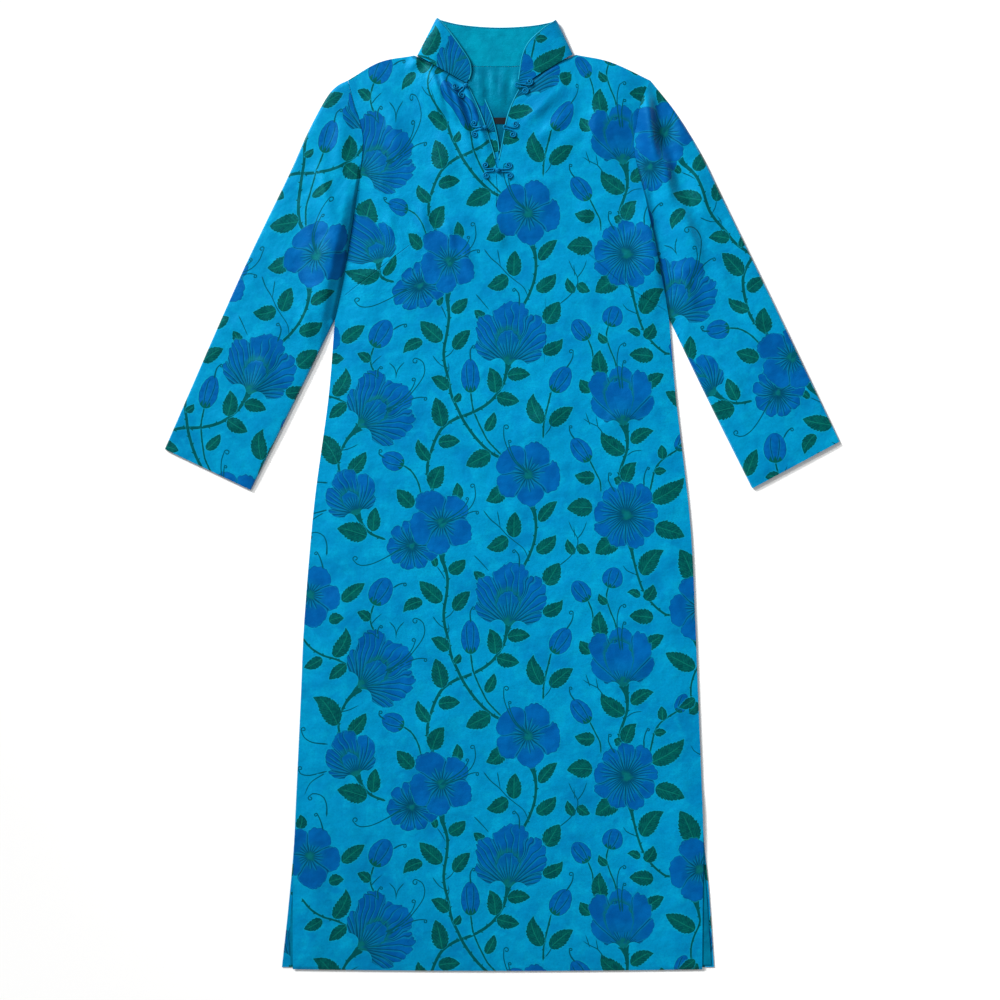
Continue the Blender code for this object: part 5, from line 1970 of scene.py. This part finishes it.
@dataclass
class Sleeve:
    """One sleeve: a flattened tube, set in at the armhole and open at the cuff."""

    shop: Workshop
    name: str
    node: str
    side: int
    outer: Curve
    inner: Curve
    creases: tuple
    print_turn: float
    print_from: Pair
    print_to: Pair
    rows: int = 136
    columns: int = 60
    armhole_share: float = 0.7
    corner_share: float = 0.3
    cap_share: float = 0.08
    cap_shift: Pair = (0.0, 0.0)
    # How high and how wide the painted shade along the set-in seam runs.
    seam_shade_head: float = 1045.0
    seam_shade_half_width: float = 7.0
    cap_foot: float = 912.0
    cap_run: float = 160.0
    cut: Pair = (0.41, 0.56)

    def plan(self, along: Points, levels: Points) -> Points:
        """Plan points of the sleeve.

        Args:
            along: Shares of the way from the armhole to the cuff.
            levels: Heights from the armhole's foot to its top.

        Returns:
            An array of rows by columns by two.
        """
        share = ((SHOULDER - levels) / (SHOULDER - UNDERARM))[None, :, None]
        armhole = np.stack((self.shop.body.side_x(self.side, True, levels), levels), -1)[None]
        outer, inner = self.outer.evenly(along)[:, None], self.inner.evenly(along)[:, None]
        start = self.outer.rows[0] + (self.inner.rows[0] - self.outer.rows[0]) * share
        fade = 1 - ramp(along, self.armhole_share)
        points = outer + (inner - outer) * share + (armhole - start) * fade[:, None, None]
        corner = np.abs(1 - 2 * share[..., 0]) ** SLEEVE_ROUND
        gap = SET_IN_GAP + SET_IN_CORNER * corner * (1 - ramp(along, self.corner_share))[:, None]
        points[..., 0] += self.side * gap
        return points

    def heights(self, along: Points, levels: Points, plan: Points) -> tuple[Points, Points]:
        """Heights of the lower and upper sides.

        Args:
            along: Shares of the way from the armhole to the cuff.
            levels: Heights from the armhole's foot to its top.
            plan: The sleeve's plan points.

        Returns:
            The heights of the two sides, at each plan point.
        """
        lateral = np.abs(1 - 2 * (SHOULDER - levels) / (SHOULDER - UNDERARM))
        flat = (np.maximum(0.0, 1 - lateral**SLEEVE_ROUND) ** (1 / SLEEVE_ROUND))[None]
        stations = np.array(SLEEVE_CREST)
        row = np.clip(np.searchsorted(stations[:, 0], along, side="left"), 1, len(stations) - 1)
        low, high = stations[row - 1], stations[row]
        crest = low[:, 1] + (high[:, 1] - low[:, 1]) * ramp((along - low[:, 0]) / (high[:, 0] - low[:, 0]), 1.0)
        folds = fold_rise(SLEEVE_FOLDS, plan) * ramp(along, self.cap_share)[:, None]
        folds = folds + fold_rise(self.creases + ARMHOLE_FOLDS, plan) * flat**4
        upper = SLEEVE_EDGE_Z + (crest[:, None] + folds - SLEEVE_EDGE_Z) * flat
        return SLEEVE_EDGE_Z * (1 - flat) * np.ones_like(upper), np.maximum(upper, SLEEVE_EDGE_Z + 0.9 * flat)

    def place(self, plan: Points) -> Points:
        """Print points: the cloth was cut with its grain along the arm, and pulled askew at the cap.

        Args:
            plan: Plan points.

        Returns:
            A print point for each.
        """
        askew = ramp(plan[..., 1:] - self.cap_foot, self.cap_run)
        away = plan - self.print_from - askew * self.cap_shift
        return np.stack(turned(away, self.print_turn), -1) + self.print_to

    def set_in_seam_shade(self) -> Layer:
        """Painted shade along the seam that the sleeve is set in with, where it lies deep beside the front.

        Returns:
            A layer with the one band of painted shade.
        """
        levels = np.linspace(UNDERARM, self.seam_shade_head, 12)
        line = np.stack((self.shop.body.side_x(self.side, True, levels), levels), -1)
        return self.shop.seams_and_shade([SeamAndShadeRow(self.seam_shade_half_width, line, 0.5)])

    def build(self) -> None:
        """The sleeve, printed outside and lined inside."""
        even = np.linspace(0.0, 1.0, self.columns + 1)
        crowded = (even + (1 - np.cos(np.pi * even)) / 2) / 2
        levels = UNDERARM + (SHOULDER - UNDERARM) * crowded[::-1]
        along = np.linspace(0.0, 1.0, self.rows + 1)
        plan = self.plan(along, levels)
        low, high = self.heights(along, levels, plan)
        upper = np.dstack((plan, high))
        lower = np.dstack((plan, low))[:, ::-1]
        unrolled = (2 * plan[:, :1] - plan)[:, ::-1]
        grids = [upper, lower, plan, plan[:, ::-1], unrolled]
        if self.side < 0:
            grids = [grid[:, ::-1] for grid in grids]
        upper, lower, plan, under, unrolled = grids
        sheet = Sheet(self.name, [upper, lower])
        self.shop.motifs.write(sheet, np.concatenate([cells(self.place(part)) for part in (plan, unrolled)]))
        # Painted shade along the set-in seam.
        self.set_in_seam_shade().write(sheet, np.concatenate((cells(plan), cells(under))))
        piece = sheet.build(self.shop.origin, (self.shop.printed, self.shop.lining), WALL)
        self.shop.hand_over(piece, "printed_satin", self.node)
        sheet.area


# ---------------- collar
@dataclass
class Collar:
    """The stand collar, printed outside and lined inside, with its piping."""

    shop: Workshop
    steps: int = 8
    bands: int = 18
    piping_radius: float = 0.8
    right_shift: Pair = (-116.7, -781.0)
    left_shift: Pair = (154.4, -899.8)
    cut: Pair = (0.56, 0.054)

    def sections(self) -> tuple[Points, Points]:
        """Seam and edge points of its middle surface, from the right front end to the left.

        Returns:
            The points of the seam and of the edge.
        """
        fraction = np.linspace(0.0, 1.0, self.steps * (len(COLLAR_ROWS) - 1) + 1)
        seam = Curve([(row.seam_x, row.seam_height, row.seam_z) for row in COLLAR_ROWS]).smooth(fraction)
        edge = Curve([(row.edge_x, row.edge_height, row.edge_z) for row in COLLAR_ROWS]).smooth(fraction)
        for line in (seam, edge):
            line[:, 2] = np.maximum(line[:, 2], COLLAR_LOW_Z)
        return seam, edge

    def build(self) -> None:
        """The band, whose print goes on from another part of the repeat on each side of the middle."""
        seam, edge = self.sections()
        share = np.linspace(0.0, 1.0, self.bands + 1)[:, None, None]
        grid = (seam + (edge - seam) * share)[:, ::-1]
        sheet = Sheet("collar_band", [grid])
        shift = np.where(grid[..., :1] < CENTRE_X, self.right_shift, self.left_shift)
        self.shop.motifs.write(sheet, cells(grid[..., :2] + shift))
        piece = sheet.build(self.shop.origin, (self.shop.printed, self.shop.lining), COLLAR_WALL, 0.0)
        self.shop.hand_over(piece, "printed_satin", "collar")
        sheet.area

    def build_piping(self) -> None:
        """The piping round its upper edge."""
        seam, edge = self.sections()
        route = beside(edge, seam, self.piping_radius + SEAM_GAP)
        piece = Tube("collar_edge", route, self.piping_radius).build(self.shop.origin, self.shop.piping)
        self.shop.hand_over(piece, "piping_satin", "collar_piping")


def beside(line: Points, section: Points, distance: float) -> Points:
    """Points at a distance from a line, away from its sections' other ends.

    Args:
        line: Points in order.
        section: The other end of each point's section.
        distance: How far to move, in millimetres.

    Returns:
        The moved points.
    """
    tangent = np.concatenate((line[1:], line[-1:])) - np.concatenate((line[:1], line[:-1]))
    tangent /= np.linalg.norm(tangent, axis=1)[:, None]
    away = line - section
    away = away - tangent * (away * tangent).sum(1)[:, None]
    return line + away / np.linalg.norm(away, axis=1)[:, None] * distance


# ---------------- neck: lining, label, underlap, piping
@dataclass
class Neck:
    """What shows inside the neck and along its opening."""

    shop: Workshop
    lining_right: EdgePoint = EdgePoint(-72.0, 1178.0)
    lining_left: EdgePoint = EdgePoint(56.0, 1178.6)
    lining_foot: float = 1026.0
    label_right: float = -24.0
    label_left: float = 8.0
    label_top: float = 1108.5
    label_height: float = 8.0
    label_fold: float = 0.55
    facing_cut: Pair = (0.13, 0.155)
    label_cut: Pair = (0.032, 0.01)
    underlap_cut: Pair = (0.028, 0.108)
    piping_radius: float = 0.8
    piping_stop: float = 14.0
    underlap_piped: float = 0.3
    underlap_print: Pair = (33.0, 44.0)
    lining_creases: tuple = rows_of(
        Fold,
        (-30, 1180, -24, 1108, 5, 4.2, 2.0), (-12, 1182, -11, 1112, 4, 3.0, 1.6),
        (4, 1178, -3, 1110, 5, 3.8, 1.6), (22, 1176, 12, 1118, 6, 2.8), (-48, 1178, -40, 1116, 7, 2.8),
    )

    def build_lining(self) -> None:
        """The part of the back's lining that shows inside the neck."""
        between = [row for row in BACK_NECK if self.lining_right.x < row.x < self.lining_left.x]
        head = Curve([self.lining_right, *between, self.lining_left]).evenly(np.linspace(0.0, 1.0, 33))
        share = np.linspace(0.0, 1.0, 37)[:, None]
        x = head[None, :, 0] * np.ones_like(share)
        height = self.lining_foot + (head[None, :, 1] - self.lining_foot) * share
        top = LINING_Z + THIN_WALL + fold_rise(self.lining_creases, np.stack((x, height), -1))
        sheet = Sheet("neck_facing", [np.dstack((x, height, top))])
        # The facing takes the darker copy of the lining satin, with shade painted in.
        piece = sheet.build(self.shop.origin, (self.shop.facing,), THIN_WALL)
        self.shop.hand_over(piece, "lining_satin", "neck_lining")
        sheet.area

    def build_label(self) -> None:
        """The blank label, a short ribbon turned under at its ends."""
        across = np.linspace(self.label_right, self.label_left, 33)
        up = np.linspace(self.label_top - self.label_height, self.label_top, 9)
        x, height = np.meshgrid(across, up)
        ends = np.minimum(across - self.label_right, self.label_left - across)
        top = LABEL_Z + LABEL_WALL * (self.label_fold + (1 - self.label_fold) * ramp(ends, 2.0))
        sheet = Sheet("label", [np.dstack((x, height, top * np.ones_like(x)))])
        piece = sheet.build(self.shop.origin, (self.shop.label,), LABEL_WALL * self.label_fold)
        self.shop.hand_over(piece, "label_ribbon", "neck_label")

    def build_underlap(self) -> None:
        """The printed strip under the right edge of the opening."""
        rows = np.linspace(0.0, 1.0, 27)
        outer = Curve(UNDERLAP_EDGE).evenly(rows)
        inner = outer + np.stack((np.full_like(rows, -UNDERLAP_WIDTH), UNDERLAP_SLANT * rows), -1)
        share = np.linspace(0.0, 1.0, 8)[None, :, None]
        plan = inner[:, None] + (outer - inner)[:, None] * share
        top = np.full(plan.shape[:2], UNDERLAP_Z + THIN_WALL)
        sheet = Sheet("underlap_strip", [np.dstack((plan, top))])
        self.shop.motifs.write(sheet, cells(plan + self.underlap_print))
        piece = sheet.build(self.shop.origin, (self.shop.printed, self.shop.lining), THIN_WALL)
        self.shop.hand_over(piece, "printed_satin", "underlap")
        sheet.area

    def build_opening_piping(self, side: int, name: str, node: str) -> None:
        """Piping down one edge of the opening, which stops where the two edges close up.

        Args:
            side: -1 for the wearer's right, 1 for the left.
            name: The piece's name.
            node: The solid that it stands for.
        """
        levels = np.linspace(SLIT_END + self.piping_stop, SHOULDER - 3.0, 40)
        plan = self.shop.body.inner_edge(side, True, levels)
        height = self.shop.body.front_top(plan) - WALL / 2
        line = np.column_stack((plan, height))
        inside = line + (side * UNDERLAP_WIDTH, 0.0, 0.0)
        route = beside(line, inside, self.piping_radius + SEAM_GAP)
        piece = Tube(name, route, self.piping_radius).build(self.shop.origin, self.shop.piping)
        self.shop.hand_over(piece, "piping_satin", node)

    def build_underlap_piping(self) -> None:
        """Piping down the free edge of the underlap."""
        plan = Curve(UNDERLAP_EDGE).evenly(np.linspace(self.underlap_piped, 1.0, 30))
        line = np.column_stack((plan, np.full(len(plan), UNDERLAP_Z + THIN_WALL / 2)))
        route = beside(line, line - (UNDERLAP_WIDTH, 0.0, 0.0), self.piping_radius + SEAM_GAP)
        piece = Tube("underlap_edge", route, self.piping_radius).build(self.shop.origin, self.shop.piping)
        self.shop.hand_over(piece, "piping_satin", "underlap_piping")


# ---------------- lining at the side slits
@dataclass
class SlitLining:
    """The strip of lining that shows where the back lies wider than the front."""

    shop: Workshop
    name: str
    node: str
    side: int
    showing: float
    cut: Pair = (0.022, 0.198)

    def build(self) -> None:
        """The strip, whose outer edge keeps to the back's turning and to how much of it may show."""
        heights = np.linspace(BACK_HEM + SLIT_LINING_INSET, SLIT_LINING_TOP, 60)
        side_x = self.shop.body.side_x
        back, front = (self.side * side_x(self.side, is_front, heights) for is_front in (False, True))
        inner = self.side * (back - SLIT_LINING_INSET - SLIT_LINING_WIDTH)
        outer = self.side * np.minimum(back - SLIT_LINING_INSET, front + self.showing)
        first, last = (outer, inner) if self.side < 0 else (inner, outer)
        x = first[:, None] + (last - first)[:, None] * np.linspace(0.0, 1.0, 8)
        height = heights[:, None] * np.ones_like(x)
        top = np.full_like(x, LINING_Z + THIN_WALL)
        sheet = Sheet(self.name, [np.dstack((x, height, top))])
        # The strip takes the darker copy of the lining satin, with shade painted in.
        piece = sheet.build(self.shop.origin, (self.shop.slit_shaded_lining,), THIN_WALL)
        self.shop.hand_over(piece, "lining_satin", self.node)
        sheet.area


# ---------------- frogs and knots
@dataclass
class Frog:
    """Half a frog closure: the middles of its two coils, the tip of its loop and the size of the loop's eye."""

    name: str
    coil_a_x: float
    coil_a_height: float
    coil_b_x: float
    coil_b_height: float
    tip_x: float
    tip_height: float
    eye: float
    lift: float
    cord_radius: float = 0.95
    coil_inner: float = 1.05
    coil_outer: float = 4.3
    coil_turns: float = 1.5
    coil_points: int = 30
    loop_points: int = 12
    leg_spread: float = 1.75
    leg_start: float = 2.4

    def coil(self, centre: Points, other: Points, ahead: Points) -> Points:
        """Winds a coil from its middle outwards, to end beside the other coil.

        Args:
            centre: Its middle.
            other: The other coil's middle.
            ahead: The way in which the loop points.

        Returns:
            Plan points.
        """
        facing = math.atan2(other[1] - centre[1], other[0] - centre[0])
        onward = np.array((-math.sin(facing), math.cos(facing)))
        turn = 1 if onward @ ahead > 0 else -1
        share = np.linspace(0.0, 1.0, self.coil_points + 1)
        angle = facing - turn * (1 - share) * self.coil_turns * TAU
        radius = self.coil_inner + (self.coil_outer - self.coil_inner) * share
        return centre + np.stack((np.cos(angle), np.sin(angle)), -1) * radius[:, None]

    def route(self, body: BodyPlan) -> Points:
        """The cord's middle line, from the middle of one coil to that of the other.

        Args:
            body: The body's plan, on whose front the cord lies.

        Returns:
            Points in order.
        """
        coil_a = np.array((self.coil_a_x, self.coil_a_height))
        coil_b = np.array((self.coil_b_x, self.coil_b_height))
        tip = np.array((self.tip_x, self.tip_height))
        middle = (coil_a + coil_b) / 2
        ahead = (tip - middle) / np.linalg.norm(tip - middle)
        across = np.array((-ahead[1], ahead[0]))
        if across @ (coil_a - middle) < 0:
            across = -across
        eye = tip - ahead * self.eye
        wrap = math.pi - math.asin(min(1.0, self.leg_spread / self.eye))
        angle = wrap * (1 - 2 * np.linspace(0.0, 1.0, self.loop_points + 1))
        arc = eye + (ahead * np.cos(angle)[:, None] + across * np.sin(angle)[:, None]) * self.eye
        legs = [middle + ahead * self.leg_start + across * self.leg_spread * way for way in (1, -1)]
        coils = self.coil(coil_a, coil_b, ahead), self.coil(coil_b, coil_a, ahead)[::-1]
        plan = np.vstack((coils[0], legs[0], arc, legs[1], coils[1]))
        return np.column_stack((plan, body.front_top(plan) + self.lift + self.cord_radius))

    def build(self, shop: Workshop) -> None:
        """Makes the cord."""
        tube = Tube(f"{self.name}_cord", self.route(shop.body), self.cord_radius, step=0.5)
        shop.hand_over(tube.build(shop.origin, shop.cord), "cord_satin", self.name)


@dataclass
class Knot:
    """A ball knot, with its place and how far it stands above the front: a core with three rounds of cord."""

    name: str
    x: float
    height: float
    lift: float
    radius: float = 2.9
    flatness: float = 0.8
    cord_radius: float = 0.85
    core_share: float = 0.55
    tilts: tuple = ((0.0, 0.0), (72.0, 20.0), (72.0, 110.0))

    def build(self, shop: Workshop) -> None:
        """Makes the knot, from a core and three rings.

        Args:
            shop: The workshop.
        """
        foot = float(shop.body.front_top(np.array((self.x, self.height)))) + self.lift
        middle = Vector((self.x, self.height, foot + self.radius * self.flatness)) * MM + shop.origin
        bpy.ops.object.select_all(action="DESELECT")
        core = (self.radius - self.cord_radius * self.core_share) * MM
        bpy.ops.mesh.primitive_ico_sphere_add(subdivisions=3, radius=core, location=middle)
        parts = [bpy.context.object]
        for lean, swing in self.tilts:
            bpy.ops.mesh.primitive_torus_add(
                major_segments=36,
                minor_segments=10,
                major_radius=(self.radius - self.cord_radius) * MM,
                minor_radius=self.cord_radius * MM,
                location=middle,
                rotation=(math.radians(lean), 0.0, math.radians(swing)),
            )
            parts.append(bpy.context.object)
        for part in parts:
            part.select_set(True)
        bpy.context.view_layer.objects.active = parts[0]
        bpy.ops.object.join()
        piece = bpy.context.object
        piece.name = f"{self.name}_ball"
        piece.scale.z = self.flatness
        bpy.ops.object.transform_apply(location=True, rotation=True, scale=True)
        made = piece.data.attributes.new("cord_place", "FLOAT_VECTOR", "POINT")
        for vertex, value in zip(piece.data.vertices, made.data):
            away = (vertex.co - middle) / MM
            value.vector = (math.atan2(away.y, away.x) / TAU, away.z * 2.0, 0.0)
        piece.data.materials.clear()
        piece.data.materials.append(shop.cord)
        smooth(piece, 60)
        shop.hand_over(piece, "cord_satin", self.name)


FROGS = rows_of(
    Frog,
    ("frog_top_right", -61, 1147.5, -52.5, 1137.2, -50.2, 1147.6, 1.75, 0.3),
    ("frog_top_left", 35.6, 1154.4, 29.6, 1142.6, 16.9, 1150.6, 2.5, 1.5),
    ("frog_middle_right", -36.6, 1099.8, -35.6, 1086.4, -26.4, 1094.2, 1.75, 0.3),
    ("frog_middle_left", 17, 1099.2, 13.6, 1086.2, 1.6, 1096.4, 2.5, 0.3),
    ("frog_bottom_right", -21.6, 1046, -20.6, 1032.6, -10.7, 1040.4, 1.75, 0.3),
    ("frog_bottom_left", 8.4, 1046.2, 9.2, 1032.8, -8.1, 1039.4, 2.5, 0.3),
)
KNOTS = rows_of(
    Knot,
    ("knot_top", -47.2, 1149.4, 0.6), ("knot_middle", -22.2, 1094.9, 0.3), ("knot_bottom", -5.6, 1039.5, 1.9),
)


# ---------------- the studio
@dataclass
class Studio:
    """The floor, the lights and the camera over them."""

    centre: Vector
    camera_place: Triple = (-0.003, -0.007, 3.07)
    lens: float = 85.0
    sensor: float = 36.0
    floor_side: float = 14.0
    floor_gap: float = 0.0002
    key_way: Triple = (-2.0, 1.95, 1.5)
    key_spread: float = 0.2
    key_strength: float = 4.06
    spot_place: Triple = (-1.5, 1.6, 2.2)
    spot_aim: Triple = (0.15, 0.12, 0.0)
    spot_cone: float = 0.56
    spot_radius: float = 0.25
    spot_power: float = 178.0
    sky: float = 0.425
    paper: StudioPaper = StudioPaper()

    def build(self) -> None:
        """Builds everything round the dress."""
        for work in (self.lay_floor, self.hang_lights, self.light_sky, self.set_camera):
            work()
        bpy.context.scene.view_settings.view_transform = "Standard"

    def lay_floor(self) -> None:
        """Lays the pale floor just under the dress."""
        bpy.ops.object.select_all(action="DESELECT")
        level = self.centre.z - self.floor_gap
        bpy.ops.mesh.primitive_plane_add(size=self.floor_side, location=(0.0, 0.0, level))
        floor = bpy.context.object
        floor.name = "studio_floor"
        bpy.ops.object.transform_apply(location=True, rotation=False, scale=False)
        floor.data.materials.append(self.paper.material())
        floor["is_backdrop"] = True

    def hang(self, light: bpy.types.Light, place: Triple, aim: Triple = (0.0, 0.0, 0.0)) -> None:
        """Hangs a light, turned to what it lights.

        Args:
            light: The light.
            place: Where it hangs.
            aim: What it is turned to.
        """
        lamp = bpy.data.objects.new(light.name, light)
        lamp.location = place
        lamp.rotation_euler = (lamp.location - Vector(aim)).to_track_quat("Z", "Y").to_euler()
        bpy.context.scene.collection.objects.link(lamp)

    def hang_lights(self) -> None:
        """Hangs a sun on the upper left, even over the whole floor, and a soft spot on the chest."""
        sun = bpy.data.lights.new("key", "SUN")
        sun.angle, sun.energy = self.key_spread, self.key_strength
        self.hang(sun, self.key_way)
        spot = bpy.data.lights.new("spot", "SPOT")
        spot.spot_size, spot.spot_blend = self.spot_cone, 1.0
        spot.shadow_soft_size, spot.energy = self.spot_radius, self.spot_power
        self.hang(spot, self.spot_place, self.spot_aim)

    def light_sky(self) -> None:
        """Fills the shadows evenly from all round."""
        world = bpy.data.worlds.new("studio")
        world.use_nodes = True
        inputs = world.node_tree.nodes["Background"].inputs
        inputs["Color"].default_value = (1.0, 1.0, 1.0, 1.0)
        inputs["Strength"].default_value = self.sky
        bpy.context.scene.world = world

    def set_camera(self) -> None:
        """Looks straight down on the dress."""
        lens = bpy.data.cameras.new("camera")
        lens.lens, lens.sensor_width, lens.clip_end = self.lens, self.sensor, 50.0
        camera = bpy.data.objects.new("camera", lens)
        camera.location = self.camera_place
        bpy.context.scene.collection.objects.link(camera)
        bpy.context.scene.camera = camera


def main() -> None:
    """Builds every piece of the dress and the studio round it."""
    logging.basicConfig(level=logging.INFO, format="%(message)s")
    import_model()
    solid_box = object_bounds()
    low, high = solid_box
    shop = Workshop(
        origin=Vector(((low.x + high.x) / 2, low.y, low.z)),
        body=BodyPlan(),
        motifs=Print(),
        printed=PrintedSatin().material(),
        lining=PlainSatin("lining_satin", srgb(0, 136, 164), srgb(0, 118, 147), 0.36).material(),
        # Painted shade: the facing and the slit strips are darker copies of the lining satin, for the shade
        # they lie in; the facing darkens further below a height.
        facing=PlainSatin(
            "facing_satin_painted_shade", srgb(0, 120, 149), srgb(0, 98, 129), 0.36, painted_shade_below=1112.0
        ).material(),
        slit_shaded_lining=PlainSatin("slit_satin_painted_shade", srgb(0, 112, 144), srgb(0, 92, 124), 0.4).material(),
        piping=TwistedCord(
            "piping_satin", srgb(27, 150, 177), srgb(0, 109, 144), 0.42, twist=60.0, strands=1.0, relief=2e-5
        ).material(),
        cord=TwistedCord(
            "cord_satin", srgb(8, 117, 163), srgb(0, 74, 128), 0.45, twist=5.0, strands=3.0, relief=18e-5
        ).material(),
        label=LabelRibbon().material(),
    )
    panels = Body(shop)
    panels.build_back()
    panels.build_front()
    Sleeve(
        shop, "right_sleeve", "sleeve_right", -1,
        Curve(RIGHT_SLEEVE_OUTER), Curve(RIGHT_SLEEVE_INNER), RIGHT_CREASES,
        print_turn=18.6, print_from=(-240.5, 931.1), print_to=(34.1, 309.0), cap_shift=(47.0, 10.0),
    ).build()
    Sleeve(
        shop, "left_sleeve", "sleeve_left", 1,
        Curve(LEFT_SLEEVE_OUTER), Curve(LEFT_SLEEVE_INNER), LEFT_CREASES,
        print_turn=-31.0, print_from=(375.4, 796.4), print_to=(-79.0, 242.8), cap_shift=(9.0, 2.0),
    ).build()
    collar = Collar(shop)
    collar.build()
    collar.build_piping()
    neck = Neck(shop)
    neck.build_lining()
    neck.build_label()
    neck.build_underlap()
    neck.build_opening_piping(-1, "opening_edge_right", "opening_piping_right")
    neck.build_opening_piping(1, "opening_edge_left", "opening_piping_left")
    neck.build_underlap_piping()
    SlitLining(shop, "slit_facing_right", "slit_lining_right", side=-1, showing=3.2).build()
    SlitLining(shop, "slit_facing_left", "slit_lining_left", side=1, showing=20.0).build()
    for fastening in FROGS + KNOTS:
        fastening.build(shop)
    Studio(centre=Vector((0.0, 0.0, low.z))).build()


if __name__ == "__main__":
    main()
